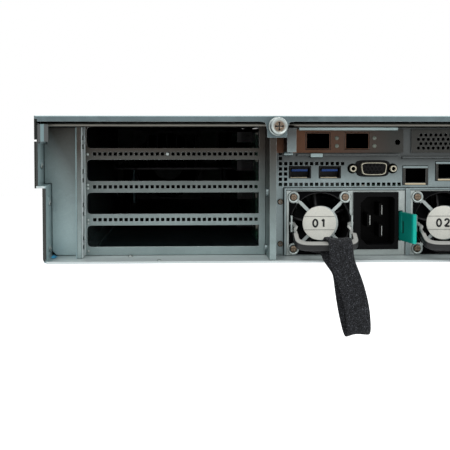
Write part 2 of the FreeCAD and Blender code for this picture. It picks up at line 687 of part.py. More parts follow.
def slot_cover():
    """Blank plate of the right low-profile slot, with staggered hexagon holes."""
    owner = body("slot_cover")
    plate = sketch(owner, "XZ", "blank_plate")
    rectangle(plate, ("blank_left - 1", "card_rise - 0.8"), ("blank_right + 1", "card_rise + card_tall + 0.6"))
    pad(owner, plate, "blank_sheet", "1")
    for row_name, shift, rise in (("even", "0", "2.2"), ("odd", "hex_pitch / 2", "2.2 + hex_rise")):
        cell = sketch(owner, "XZ", row_name + "_hexagon")
        x, z = f"blank_left + 3.4 + {shift}", f"card_rise + {rise}"
        side, half = "hex_size * 0.866", "hex_size / 2"
        outline(cell, [(f"{x} + {side}", f"{z} - {half}"), (f"{x} + {side}", f"{z} + {half}"),
                       (x, f"{z} + hex_size"), (f"{x} - {side}", f"{z} + {half}"),
                       (f"{x} - {side}", f"{z} - {half}"), (x, f"{z} - hex_size")])
        grid(owner, pocket(owner, cell, row_name + "_cells"), ("X", "hex_pitch", 22), ("Z", "2 * hex_rise", 2))
    return place(owner, ("0", f"{REAR} + io_recess - slip", BASE))


def slot_latch():
    """Swinging latch that clamps the bracket ends."""
    face = f"{REAR} + io_recess - 2 * slip - 1"
    low = f"{BASE} + card_rise"
    left = "-card_left + 3.5"
    arm = span("latch_arm", (left, f"{left} + 5.4"), (f"{face} - 21", face), (low, f"{low} + card_tall + 1"))
    hollow = span("latch_hollow", (f"{left} + 1.2", f"{left} + 6"), (f"{face} - 19.6", f"{face} - 3"),
                  (f"{low} + 1.4", f"{low} + card_tall - 0.4"))
    knuckle = drum("latch_knuckle", (left, f"{face} - 1.6", f"{low} - 1.2"), "1.5", "5.4", "X")
    return join("slot_latch", [less("latch_shell", arm, [hollow]), knuckle])


def socket(name, left, low, wide, tall, skin, deep):
    """Socket with an open mouth; it stands proud of the panel."""
    rear = f"{REAR} + io_recess - socket_proud"
    shell = block(name + "_shell", (left, rear, low), (wide, deep, tall))
    hole = block(name + "_mouth", (f"{left} + {skin}", f"{rear} - 1", f"{low} + {skin}"),
                 (f"{wide} - 2 * {skin}", f"{deep} - 2", f"{tall} - 2 * {skin}"))
    return less(name, shell, [hole])


def usb_ports():
    """Two USB sockets, each with its tongue, on a foot that reaches the board."""
    ports = []
    for index in range(2):
        left = f"-usb_first + {index} * usb_pitch"
        low = f"{BASE} + usb_rise"
        shell = socket(f"usb_{index + 1}", left, low, "usb_wide", "usb_tall", "0.5", "14")
        rear = f"{REAR} + io_recess"
        tongue = block("usb_tongue", (f"{left} + 1.6", f"{rear} + 1", f"{low} + usb_tall - 3"),
                       ("usb_wide - 3.2", "11.5", "1.7"))
        foot = span("usb_foot", (left, f"{left} + usb_wide"), (f"{rear} + wall + slip", f"{rear} + 13.4"),
                    (BOARD_TOP, low))
        ports.append(join(f"usb_port_{index + 1}", [shell, tongue, foot]))
    return group("usb_ports", ports)


def vga_port():
    """Display socket with its flange, shell and two jackscrews."""
    rear = f"{REAR} + io_recess - 0.8"
    x, z = "-vga_side", f"{BASE} + vga_rise"
    back = span("vga_body", (f"{x} - 15.3", f"{x} + 15.3"),
                (f"{REAR} + io_recess + wall + slip", f"{rear} + 12"), (BOARD_TOP, f"{z} + 6"))
    rim = span("vga_rim", (f"{x} - 8.1", f"{x} + 8.1"), (f"{rear} - 4.4", f"{REAR} + io_recess + 3"),
               (f"{z} - 4.2", f"{z} + 4.2"))
    cup = span("vga_cup", (f"{x} - 7.5", f"{x} + 7.5"), (f"{rear} - 6", f"{rear} - 0.6"),
               (f"{z} - 3.6", f"{z} + 3.6"))
    jacks = [drum("vga_jack", (f"{x} {side} jack_gap / 2", f"{rear} - 3.6", z), "2.35", "8.5", "Y")
             for side in ("-", "+")]
    return less("vga_port", join("vga_solid", [back, rim] + jacks), [cup])


def lan_ports():
    """Three network sockets on the board."""
    ports = []
    for index in range(3):
        left = f"lan_side + {index} * lan_pitch - lan_wide / 2"
        lift = "2.6" if index else "0"
        port = socket(f"lan_{index + 1}", left, f"{BOARD_TOP} + {lift}", "lan_wide", "lan_tall", "1.5", "18")
        if index:
            rear = f"{REAR} + io_recess"
            foot = span("lan_foot", (left, f"{left} + lan_wide"), (f"{rear} + wall + slip", f"{rear} + 16"),
                        (BOARD_TOP, f"{BOARD_TOP} + {lift}"))
            port = join(f"lan_port_{index + 1}", [port, foot])
        ports.append(port)
    return group("lan_ports", ports)


def motherboard():
    """Board over the power supplies, widening in front of the card cages."""
    rear = f"{REAR} + io_recess + wall + slip"
    wide = f"{REAR} + panel_recess + cage_long + 12"
    tail = span("board_tail", ("-board_half", "board_half"), (rear, wide), (BOARD, BOARD_TOP))
    head = span("board_head", ("-board_spread", "board_spread"), (wide, f"{REAR} + board_end"),
                (BOARD, BOARD_TOP))
    return join("motherboard", [tail, head])


def cpu_heatsinks():
    """Two finned coolers."""
    coolers = []
    for number, x in (("1", "-62"), ("2", "62")):
        rear = f"{REAR} + board_end - 130"
        low = f"{BOARD_TOP} + slip"
        parts = [block("cooler_foot", (f"{x} - cooler_wide / 2", rear, low), ("cooler_wide", "cooler_long", "6"))]
        for fin in range(12):
            corner = (f"{x} - 36.6 + {fin} * fin_pitch", rear, f"{low} + 6")
            parts.append(block("cooler_fin", corner, ("fin_thick", "cooler_long", "28")))
        coolers.append(join("cooler_" + number, parts))
    return group("cpu_heatsinks", coolers)


def memory_modules():
    """Memory modules beside each processor."""
    modules = []
    for middle in ("-150", "150"):
        for index in range(6):
            corner = (f"{middle} + ({index} - 2.5) * 9.4", f"{REAR} + board_end - 150", f"{BOARD_TOP} + slip")
            modules.append(block("module", corner, ("board_thick", "133.3", "31.2")))
    return group("memory_modules", modules)


def riser_boards():
    """Upright riser boards on the dividers, with one socket for each slot."""
    boards = []
    for side in (-1, 1):
        inner = f"{DIVIDER} + slip"
        outer = f"{inner} + board_thick"
        ends = (f"{side} * ({inner})", f"{side} * ({outer})")
        x = ends if side > 0 else (ends[1], ends[0])
        rear = f"{REAR} + panel_recess + 60"
        parts = [span("riser_plate", x, (rear, f"{rear} + riser_long"),
                      (f"{BASE} + 4", f"{BASE} + divider_top - 3"))]
        for slot in range(4):
            low = f"{BASE} + slot_first + {slot} * slot_pitch + 3"
            sides = (f"{side} * ({outer})", f"{side} * ({outer} + 11)")
            across = sides if side > 0 else (sides[1], sides[0])
            along = (f"{rear} + riser_long * 0.15", f"{rear} + riser_long * 0.15 + riser_socket")
            parts.append(span("riser_slot", across, along, (low, f"{low} + 7.4")))
        boards.append(join(f"riser_{'right' if side > 0 else 'left'}", parts))
    return group("riser_boards", boards)


def psu_bay():
    """Shelf over the power supplies, with its outer cheeks and the middle divider."""
    left, right = f"psu_offset - {BAY_HALF}", f"psu_offset + {BAY_HALF}"
    rear = f"{PSU_FACE} - 1"
    front = f"{PSU_FACE} + psu_long + 4"
    low = f"{FLOOR} + slip"
    high = f"{BAY_TOP} + wall"
    shelf = span("bay_shelf", (f"{left} - wall", f"{right} + wall"), (f"{REAR} + io_recess - 2", front),
                 (BAY_TOP, high))
    cheeks = [span("bay_cheek", x, (rear, front), (low, high))
              for x in ((f"{left} - wall", left), (right, f"{right} + wall"))]
    gap = "(psu_pitch / 2 - psu_wide / 2 - slip)"
    rib = span("bay_rib", (f"psu_offset - {gap}", f"psu_offset + {gap}"), (rear, front), (low, high))
    return join("psu_bay", [shelf, rib] + cheeks)


def power_board():
    """Upright board that both power supplies plug into."""
    rear = f"{PSU_FACE} + psu_long + 4 + slip"
    plate = span("power_plate", ("-board_half", "board_half"), (rear, f"{rear} + board_thick"),
                 (f"{FLOOR} + slip", f"{BAY_TOP} + wall"))
    slots = [
        span("power_slot", (f"{middle} - plug_wide / 2 - 1", f"{middle} + plug_wide / 2 + 1"),
             (f"{rear} - 1", f"{rear} + board_thick + 1"),
             (f"{PSU_BOTTOM} + 9.5", f"{PSU_BOTTOM} + 12.5"))
        for middle in ("psu_offset - psu_pitch / 2", "psu_offset + psu_pitch / 2")
    ]
    return less("power_board", plate, slots)


def rotor(name, foot, hub, tip, long, blades):
    """Fan rotor about its own Z, turned to face the rear: hub, axle and twisted blades."""
    owner = body(name)
    disc = sketch(owner, "XY", name + "_hub", "0.6")
    circle(disc, ("0", "0"), hub)
    pad(owner, disc, name + "_drum", f"{long} - 0.6")
    axle = sketch(owner, "XY", name + "_axle_circle", "-2.2")
    circle(axle, ("0", "0"), "axle_radius")
    pad(owner, axle, name + "_axle", "4")
    blade = owner.newObject("PartDesign::AdditiveLoft", name + "_blade")
    sections = []
    ends = (("root", f"{hub} - 1", "0.3", "0.48"), ("tip", f"{tip} * 0.88", "0.47", "0.36"))
    for end, lift, reach, half in ends:
        section = sketch(owner, "YZ", f"{name}_{end}", lift)
        y, z = f"{tip} * {reach}", f"{long} * {half}"
        middle = f"{long} / 2 + 0.6"
        outline(section, [(f"-{y}", f"{middle} - {z} + 0.6"), (f"-{y} + 1.2", f"{middle} - {z} + 0.6"),
                          (y, f"{middle} + {z} - 1.2"), (f"{y} - 1.2", f"{middle} + {z} - 1.2")])
        sections.append(section)
    blade.Profile = sections[0]
    blade.Sections = [(sections[1], [""])]
    blade.Ruled = True
    doc.recompute()
    ring = owner.newObject("PartDesign::PolarPattern", name + "_blades")
    ring.Originals = [blade]
    ring.Axis = (origin_part(owner, "Z_Axis"), [""])
    ring.Angle = 360
    ring.Occurrences = blades
    owner.Tip = ring
    doc.recompute()
    turn(owner, (1, 0, 0), "90")
    return place(owner, foot)


def fan_frame(name, centre, rear, side, deep, bore, hub):
    """Square fan frame with a hub plate and struts at its inner end; centre is (x, z)."""
    x, z = centre
    shell = block(name + "_shell", (f"{x} - {side} / 2", rear, f"{z} - {side} / 2"), (side, deep, side))
    hole = drum(name + "_bore", (x, f"{rear} - 1", z), bore, f"{deep} + 2", "Y")
    plate = drum(name + "_plate", (x, f"{rear} + {deep} - 3", z), hub, "3", "Y")
    arms = [
        span(name + "_strut", (f"{x} - {a}", f"{x} + {a}"), (f"{rear} + {deep} - 3", f"{rear} + {deep}"),
             (f"{z} - {b}", f"{z} + {b}"))
        for a, b in ((f"({bore} + 0.4)", "1.2"), ("1.2", f"({bore} + 0.4)"))
    ]
    axle = drum(name + "_axle_hole", (x, f"{rear} + {deep} - 4", z), "axle_radius + running", "6", "Y")
    ring = less(name + "_ring", shell, [hole])
    return less(name, join(name + "_solid", [ring, plate] + arms), [axle])


def psu_case(side, left):
    """Power supply case: sheet shell, pressed fan guard, handle ears and the latch's lugs."""
    name = f"psu_{side}"
    face, low = PSU_FACE, PSU_BOTTOM
    shell = block(name + "_outer", (left, face, low), ("psu_wide", "psu_long", "psu_tall"))
    room = block(name + "_room", (f"{left} + psu_skin", f"{face} + wall", f"{low} + psu_skin"),
                 ("psu_wide - 2 * psu_skin", "psu_long - wall - psu_skin", "psu_tall - 2 * psu_skin"))
    x, z = f"{left} + fan_side", f"{low} + psu_tall / 2"
    bore = drum(name + "_fan_hole", (x, f"{face} - 1", z), "fan_bore", "wall + 2", "Y")
    inlet = span(name + "_inlet_hole",
                 (f"{left} + inlet_side + 1.2", f"{left} + inlet_side + inlet_wide - 1.2"),
                 (f"{face} - 1", f"{face} + wall + 1"),
                 (f"{z} + inlet_lift - inlet_tall / 2 + 1.2", f"{z} + inlet_lift + inlet_tall / 2 - 1.2"))
    latch = span(name + "_latch_hole", (f"{left} + latch_side - 2.2", f"{left} + latch_side + 1.9"),
                 (f"{face} - 1", f"{face} + wall + 1"),
                 (f"{low} + latch_rise - 0.6", f"{low} + latch_rise + latch_tall + 0.6"))
    tail = block(name + "_tail_hole", (f"{left} + 12", f"{face} + psu_long - 2", f"{low} + 20"),
                 ("psu_wide - 24", "4", "14"))
    sheet_case = less(name + "_shell", shell, [room, bore, inlet, latch, tail])
    pieces = [sheet_case]
    for index, angle in enumerate(("45", "135")):
        spoke = doc.addObject("Part::Box", f"{name}_spoke_{index}")
        bind(spoke, Length="2 * fan_bore + 1", Width="wall", Height="spoke")
        spoke.Placement.Rotation = FreeCAD.Rotation(FreeCAD.Vector(0, 1, 0), float(angle))
        turned = math.radians(float(angle))
        half = "(fan_bore + 0.5)"
        pieces.append(place(spoke, (
            f"{x} - {half} * {math.cos(turned):.6f} - spoke / 2 * {math.sin(turned):.6f}", face,
            f"{z} + {half} * {math.sin(turned):.6f} - spoke / 2 * {math.cos(turned):.6f}")))
    pieces.append(drum(name + "_disc", (x, f"{face} - 0.8", z), "disc_radius", "wall + 0.8", "Y"))
    for across in ("-", "+"):
        for up in ("-", "+"):
            spot = (f"{x} {across} fan_screws / 2", f"{face} - 0.8", f"{z} {up} fan_screws / 2")
            pieces.append(drum(name + "_boss", spot, "boss_radius", "1.2", "Y"))
    corner = (f"{left} + psu_wide / 2 - plug_wide / 2", f"{face} + psu_long - 1", f"{low} + 10.2")
    pieces.append(block(name + "_tongue", corner, ("plug_wide", "8", "board_thick")))
    for edge in ("-", "+"):
        ear_left = f"{x} {edge} (bail_half + wire_bend + slip)" + (" - 1" if edge == "-" else "")
        ear = span(name + "_ear", (ear_left, f"{ear_left} + 1"),
                   (f"{face} - pivot_out - 2.4", f"{face} + 0.5"),
                   (f"{low} + pivot_rise - 5", f"{low} + pivot_rise + 5"))
        pieces.append(ear)
    for end in ("latch_rise - 2.2", "latch_rise + latch_tall + 0.6"):
        lug = span(name + "_lug", (f"{left} + latch_side - 2.2", f"{left} + psu_wide - psu_skin / 2"),
                   (f"{face} + wall - 0.2", f"{face} + 5.4"), (f"{low} + {end}", f"{low} + {end} + 1.6"))
        pieces.append(lug)
    pivot = (f"{x} - bail_half - 5", f"{face} - pivot_out", f"{low} + pivot_rise")
    cuts = [drum(name + "_pivot_hole", pivot, "wire_radius + running", "2 * bail_half + 10", "X")]
    pin = (f"{left} + latch_side", f"{face} + 3.2", f"{low} + latch_rise - 4")
    cuts.append(drum(name + "_pin_hole", pin, "0.8 + running", "latch_tall + 8", "Z"))
    return less(name + "_case", join(name + "_sheet", pieces), cuts)


def psu_latch(side, left):
    """Release latch: leaning thumb plate with a slit, on a pivot barrel inside the face."""
    name = f"psu_{side}_latch"
    owner = body(name)
    plan = sketch(owner, "XY", name + "_plan")
    half = "latch_thick / 2"
    outline(plan, [(f"-{half}", "0"), (f"-{half}", "-latch_long - 2.6"),
                   (f"-{half} + 0.7", "-latch_long - 3.2"), (f"{half} - 0.7", "-latch_long - 3.2"),
                   (half, "-latch_long - 2.6"), (half, "0")])
    pad(owner, plan, name + "_plate", "latch_tall")
    barrel = sketch(owner, "XY", name + "_barrel_circle")
    circle(barrel, ("0", "0"), f"{half} + 0.6")
    pad(owner, barrel, name + "_barrel", "latch_tall")
    pin = sketch(owner, "XY", name + "_pin_circle", "-2")
    circle(pin, ("0", "0"), "0.8")
    pad(owner, pin, name + "_pin", "latch_tall + 4")
    slit = sketch(owner, "YZ", name + "_slit_outline")
    rectangle(slit, ("-9.6", "5"), ("-7.8", "latch_tall - 1.5"))
    cut = owner.newObject("PartDesign::Pocket", name + "_slit")
    cut.Profile = slit
    cut.Type = "ThroughAll"
    cut.SideType = "Symmetric"
    doc.recompute()
    turn(owner, (0, 0, 1), "latch_lean")
    return place(owner, (f"{left} + latch_side", f"{PSU_FACE} + 3.2", f"{PSU_BOTTOM} + latch_rise"))


def psu_inlet(side, left):
    """Mains inlet standing on end: frame, deep mouth with chamfered corners and three blades."""
    name = f"psu_{side}_inlet"
    face = PSU_FACE
    x = f"({left} + inlet_side + inlet_wide / 2)"
    z = f"({PSU_BOTTOM} + psu_tall / 2 + inlet_lift)"
    frame = block(name + "_frame", (f"{x} - inlet_wide / 2", f"{face} - slip - 1.6", f"{z} - inlet_tall / 2"),
                  ("inlet_wide", "1.6", "inlet_tall"))
    corner = (f"{x} - inlet_wide / 2 + 1.5", f"{face} - slip - 0.8", f"{z} - inlet_tall / 2 + 1.5")
    core = block(name + "_core", corner, ("inlet_wide - 3", "mouth_deep + 4", "inlet_tall - 3"))
    owner = body(name + "_mouth")
    profile = sketch(owner, "XZ", name + "_mouth_outline")
    w, h = "mouth_wide / 2", "mouth_tall / 2"
    outline(profile, [(f"-{w} + 4", f"-{h}"), (f"{w} - 1.5", f"-{h}"), (w, f"-{h} + 1.5"), (w, f"{h} - 1.5"),
                      (f"{w} - 1.5", h), (f"-{w} + 4", h), (f"-{w}", f"{h} - 4"), (f"-{w}", f"-{h} + 4")])
    pad(owner, profile, name + "_mouth_run", "mouth_deep + 4")
    place(owner, (f"{x} + mouth_shift", f"{face} - slip - 1.6 + mouth_deep", z))
    socket_body = less(name + "_socket", join(name + "_solid", [frame, core]), [owner])
    blades = []
    for across, rise in (("-4.8", "0"), ("2.6", "6.5"), ("2.6", "-6.5")):
        corner = (f"{x} + mouth_shift + {across} - 1", f"{face} - slip - 1.6 + mouth_deep - 14",
                  f"{z} + {rise} - 4")
        blades.append(block(name + "_blade", corner, ("2", "14", "8")))
    return join(name, [socket_body] + blades)


def bail_path(half, long, bend):
    """Spine of the bail wire in its own plane, from one pivot end to the other."""
    end = half + bend + 1.9
    points = [(-end, 0), (-half, 0), (-half, -long), (half, -long), (half, 0), (end, 0)]
    spots = [FreeCAD.Vector(x, y, 0) for x, y in points]
    edges = []
    start = spots[0]
    for before, corner, after in zip(spots, spots[1:], spots[2:]):
        back = (before - corner).normalize() * bend
        ahead = (after - corner).normalize() * bend
        middle = corner + (back + ahead) * (1 - math.sqrt(0.5))
        edges.append(Part.LineSegment(start, corner + back).toShape())
        edges.append(Part.Arc(corner + back, middle, corner + ahead).toShape())
        start = corner + ahead
    edges.append(Part.LineSegment(start, spots[-1]).toShape())
    return Part.Wire(edges)


def psu_bail(side, left):
    """Wire bail swept along its bent path, and the moulded grip around its middle."""
    name = f"psu_{side}_bail"
    half, long = value("bail_half"), value("bail_long")
    path = bail_path(half, long, value("wire_bend"))
    ring = Part.Wire([Part.makeCircle(value("wire_radius"), path.Vertexes[0].Point, FreeCAD.Vector(1, 0, 0))])
    wire = doc.addObject("Part::Feature", name)
    wire.Shape = path.makePipe(Part.Face(ring))
    x = f"{left} + fan_side"
    spot = (x, f"{PSU_FACE} - pivot_out", f"{PSU_BOTTOM} + pivot_rise")
    turn(wire, (1, 0, 0), "bail_lean")
    place(wire, spot)
    grip = body(f"psu_{side}_grip_block")
    profile = sketch(grip, "XY", f"psu_{side}_grip_outline", "-grip_thick / 2")
    outer = "bail_half + 1.7"
    inner = "bail_half - 1.6"
    end = "bail_long + grip_wide / 2"
    left_side = [(f"-({outer})", "-9"), (f"-({outer})", f"-({end}) + 2"), (f"-({outer}) + 2", f"-({end})")]
    right_side = [(f"-({px})", py) for px, py in reversed(left_side)]
    inside = [(inner, "-9"), (inner, "-bail_long + grip_wide / 2 + 1.5"),
              (f"{inner} - 1.5", "-bail_long + grip_wide / 2")]
    mirrored = [(f"-({px})", py) for px, py in reversed(inside)]
    outline(profile, left_side + right_side + inside + mirrored)
    pad(grip, profile, f"psu_{side}_grip_pad", "grip_thick")
    turn(grip, (1, 0, 0), "bail_lean")
    place(grip, spot)
    return [wire, less(f"psu_{side}_grip", grip, [wire])]


def psu_strap(side, left):
    """Soft strap: a loop around the grip and a leaning tail of two layers."""
    name = f"psu_{side}_strap"
    out = "(pivot_out + bail_long * cos(bail_lean * 1deg))"
    drop = "(bail_long * sin(bail_lean * 1deg))"
    x = f"({left} + fan_side + strap_side)"
    y = f"({PSU_FACE} - {out})"
    z = f"({PSU_BOTTOM} + pivot_rise - {drop})"
    reach = "(grip_wide / 2 + grip_thick / 2)"
    loop = drum(name + "_loop", (f"{x} - strap_wide / 2 + 1", y, z), f"{reach} * 0.75 + 2", "strap_wide - 2", "X")
    eye = drum(name + "_eye", (f"{x} - strap_wide", y, z), f"{reach} * 0.75 + slip", "2 * strap_wide", "X")
    tail = doc.addObject("Part::Box", name + "_tail")
    bind(tail, Length="strap_wide", Width="strap_thick", Height="strap_long - 2")
    turn(tail, (0, 1, 0), "180 - strap_lean")
    place(tail, (f"{x} + strap_wide / 2", f"{y} - {reach} * 0.75 - 1.6 - strap_thick / 2", f"{z} - 1"))
    return less(name, join(name + "_solid", [loop, tail]), [eye])


def power_supply(side, left):
    """Every piece of one power supply; left is its left edge."""
    x, z = f"{left} + fan_side", f"{PSU_BOTTOM} + psu_tall / 2"
    inner = "(psu_tall - 2 * psu_skin - 2 * slip)"
    rear = f"{PSU_FACE} + wall + slip"
    frame = fan_frame(f"psu_{side}_fan_frame", (x, z), rear, inner, "fan_deep", "fan_bore - 0.6", "hub_radius")
    foot = (x, f"{rear} + fan_deep - 3", z)
    spin = rotor(f"psu_{side}_rotor", foot, "hub_radius", "blade_tip", "(fan_deep - 7)", 5)
    return [psu_case(side, left), frame, spin, psu_inlet(side, left), psu_latch(side, left),
            *psu_bail(side, left), psu_strap(side, left)]


def fan_wall():
    """Chassis fans: bracket, frames and rotors."""
    z = f"({FLOOR} + slip + big_fan / 2)"
    holes, frames, rotors = [], [], []
    for index in range(4):
        x = f"({index} - 1.5) * big_pitch"
        name = f"fan_frame_{index + 1}"
        frames.append(fan_frame(name, (x, z), FANS, "big_fan", "big_deep", "big_tip + 0.8", "big_hub"))
        foot = (x, f"{FANS} + big_deep - 3", z)
        rotors.append(rotor(f"fan_rotor_{index + 1}", foot, "big_hub", "big_tip", "(big_deep - 7)", 7))
        holes.append(drum("bracket_hole", (x, f"{FANS} + big_deep", z), "big_tip", "6", "Y"))
    front = f"{FANS} + big_deep + slip"
    half = f"{LOW} - bend"
    plate = span("fan_plate", (f"-({half})", half), (front, f"{front} + wall"),
                 (f"{FLOOR} + slip", f"{BASE} + panel_top"))
    return [less("fan_bracket", plate, holes), group("fan_housings", frames)] + rotors


def drive_cage():
    """Front deck and the cage of three drive bays under it."""
    deck = hat("deck", "-drive_deep", "-slip")
    low = f"{FLOOR} + slip"
    top = f"{BASE} + tall"
    sides = [span("bay_side", x, ("-drive_deep", "-slip"), (low, top))
             for x in (("-bay_half - wall", "-bay_half"), ("bay_half", "bay_half + wall"))]
    shelves = [span("bay_shelf", ("-bay_half", "bay_half"), ("-drive_deep", "-slip"),
                    (f"{low} + {index} * bay_pitch", f"{low} + {index} * bay_pitch + wall"))
               for index in range(3)]
    return join("drive_cage", deck + sides + shelves)


def drive_backplane():
    """Board behind the drive bays, open for air between the bays."""
    rear = "-drive_deep - slip - board_thick"
    plate = span("plane_plate", ("-bay_half", "bay_half"), (rear, "-drive_deep - slip"),
                 (f"{FLOOR} + slip", f"{BASE} + panel_top - 1"))
    windows = [span("plane_window", ("-bay_half + 30", "bay_half - 12"), (f"{rear} - 1", "-drive_deep + 1"),
                    (f"{FLOOR} + {index} * bay_pitch + 8", f"{FLOOR} + {index} * bay_pitch + 22"))
               for index in range(3)]
    return less("drive_backplane", plate, windows)


def bay_floor(index):
    return f"({FLOOR} + slip + {index} * bay_pitch + wall + slip / 3)"


def drive_tray(index):
    """Drive tray: vented face, side rails and floor."""
    name = f"drive_tray_{index + 1}"
    low = bay_floor(index)
    half = "tray_wide / 2"
    face = span(name + "_face", (f"-{half}", half), ("0", "tray_face"), (low, f"{low} + tray_tall"))
    recess = span(name + "_recess", (f"-{half} + 2", f"{half} - 2"), ("tray_face - 5.6", "tray_face + 1"),
                  (f"{low} + 2", f"{low} + 12"))
    vents = [span(name + "_vent", (f"-{half} + 6 + {slot} * 7.6", f"-{half} + 11 + {slot} * 7.6"),
                  ("-1", "tray_face + 1"), (f"{low} + 14.5", f"{low} + 23")) for slot in range(12)]
    rails = [span(name + "_rail", x, ("-tray_deep", "1"), (low, f"{low} + 20"))
             for x in ((f"-{half}", f"-{half} + 1.5"), (f"{half} - 1.5", half))]
    pan = span(name + "_pan", (f"-{half}", half), ("-tray_deep", "1"), (low, f"{low} + 1.2"))
    back = less(name + "_front", face, [recess] + vents)
    return join(name, [back, pan] + rails)


def tray_lever(index):
    """Lever in the tray face, hinged at its left end."""
    name = f"tray_lever_{index + 1}"
    low = bay_floor(index)
    half = "tray_wide / 2"
    bar = span(name + "_bar", (f"-{half} + 4.4", f"{half} - 14"), ("tray_face - 5", "tray_face - 1"),
               (f"{low} + 2.4", f"{low} + 11.6"))
    curl = drum(name + "_curl", (f"{half} - 14", "tray_face - 3", f"{low} + 2.4"), "2", "9.2", "Z")
    barrel = drum(name + "_barrel", (f"-{half} + 4.4", "tray_face - 3", f"{low} + 2.2"), "2", "9.6", "Z")
    return join(name, [bar, curl, barrel])


def front_grille():
    """Air intake on both sides of the drive column, with tall slots."""
    half = f"{LOW} - wall - slip"
    low, high = f"{FLOOR} + slip", f"{BASE} + tall - wall - slip"
    plate = span("grille_plate", (f"-({half})", half), ("0", "1.6"), (low, high))
    cuts = [span("grille_bays", ("-bay_half - slip", "bay_half + slip"), ("-1", "3"),
                 (f"{low} - 1", f"{low} + {BAYS} + 1.2"))]
    for side in (-1, 1):
        for row in range(2):
            for slot in range(22):
                x = f"{side} * (64 + {slot} * 6.8) - 2.2"
                z = f"{low} + 4 + {row} * 39"
                cuts.append(block("grille_slot", (x, "-1", z), ("4.4", "4", "36")))
    return less("front_grille", plate, cuts)


def ear(side):
    """Rack ear with its screw slots and pull handle; the left ear holds the power button."""
    name = "left_ear" if side < 0 else "right_ear"
    inner = f"{LOW} - wall"
    reach = "half_wide + ear_out"
    x = (f"-({reach})", f"-({inner})") if side < 0 else (inner, reach)
    low, high = f"{BASE} + 0.5", f"{BASE} + tall - 0.5"
    plate = span(name + "_plate", x, ("0", "ear_thick"), (low, high))
    cheek_x = f"{side} * ({LOW} - 1) - 2"
    cheek = block(name + "_cheek", (cheek_x, "ear_thick - 0.5", low), ("4", "14", f"{high} - ({low})"))
    pull = f"{side} * ({HOLE_SIDE} - 3)"
    posts = [drum(name + "_post", (pull, "ear_thick - 0.5", f"{rise} * pull_rise"), "pull_radius - 0.4",
                  "pull_out", "Y")
             for rise in ("-1", "1")]
    foot = (pull, "ear_thick + pull_out - 0.5", "-pull_rise - 5")
    bar = drum(name + "_bar", foot, "pull_radius", "2 * pull_rise + 10")
    cuts = []
    for rise in ("-hole_rise", "hole_rise"):
        middle = f"{side} * {HOLE_SIDE}"
        slot = span(name + "_slot_block", (f"{middle} - slot_half", f"{middle} + slot_half"), ("-1", "5"),
                    (f"{rise} - hole_radius", f"{rise} + hole_radius"))
        cuts.append(rounded(name + "_slot", slot, "Y", "hole_radius * 0.99"))
    if side < 0:
        cuts.append(drum("button_hole", (f"{cheek_x} + 2", "2", BUTTON_RISE), "1.5 + running", "20", "Y"))
        cuts.append(drum("button_seat", (f"{cheek_x} + 2", "2", BUTTON_RISE), "1.8 + running", "8", "Y"))
    return less(name, join(name + "_solid", [plate, cheek, bar] + posts), cuts)


def power_button():
    """Round power button on its stem."""
    x = f"-({LOW} - 1)"
    cap = drum("button_cap", (x, "ear_thick + 7", BUTTON_RISE), "1.5", "7.6", "Y")
    stem = drum("button_stem", (x, "ear_thick + 3", BUTTON_RISE), "1.8", "4.2", "Y")
    return join("power_button", [cap, stem])


def panel_screws():
    """Screw heads of the rear sheets."""
    heads = []
    for out, rise in (("14", "41.2"), ("22", "6.4")):
        foot = (f"-{DIVIDER} - head_thick", f"{REAR} + {out}", f"{BASE} + {rise}")
        heads.append(drum("divider_screw", foot, "2.6", "head_thick", "X"))
    for rise in ("34.5", "8.4"):
        foot = ("-io_vent_side", f"{REAR} + io_recess - head_thick", f"{BASE} + {rise}")
        heads.append(drum("panel_screw", foot, "1.6", "head_thick", "Y"))
    return group("panel_screws", heads)


panel = slot_panel()
cage = card_cage()
wall_left = left_divider()
nodes = [
    chassis_base(), top_cover(), cover_thumbscrew(), cross_beam(),
    panel, mirror("right_slot_panel", panel),
    cage, mirror("right_card_cage", cage),
    wall_left, mirror("right_divider", join("plain_divider", divider())),
    port_panel(), card_bracket(), sfp_cages(), card_board(), slot_cover(), slot_latch(),
    usb_ports(), vga_port(), lan_ports(), motherboard(), cpu_heatsinks(), memory_modules(),
    riser_boards(), psu_bay(), power_board(), drive_cage(), drive_backplane(),
    front_grille(), ear(-1), ear(1), power_button(), panel_screws(),
]
nodes += fan_wall()
nodes += power_supply("left", "(psu_offset - psu_pitch / 2 - psu_wide / 2)")
nodes += power_supply("right", "(psu_offset + psu_pitch / 2 - psu_wide / 2)")
for bay in range(3):
    nodes += [drive_tray(bay), tray_lever(bay)]
doc.recompute()

for item in doc.Objects:
    if "Invalid" in item.State or "Error" in item.State:
        raise RuntimeError(f"{item.Label} failed: {item.State}")
for node in nodes:
    if node.Shape.isNull() or not node.Shape.isValid():
        raise RuntimeError(f"{node.Label} has no valid shape")

os.makedirs("parts", exist_ok=True)
for node in nodes:
    node.Shape.exportStep(f"parts/{node.Label}.step")
print(len(nodes), "nodes")
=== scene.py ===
"""Two-unit rack server seen from the rear: finishes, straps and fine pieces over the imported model."""
import math

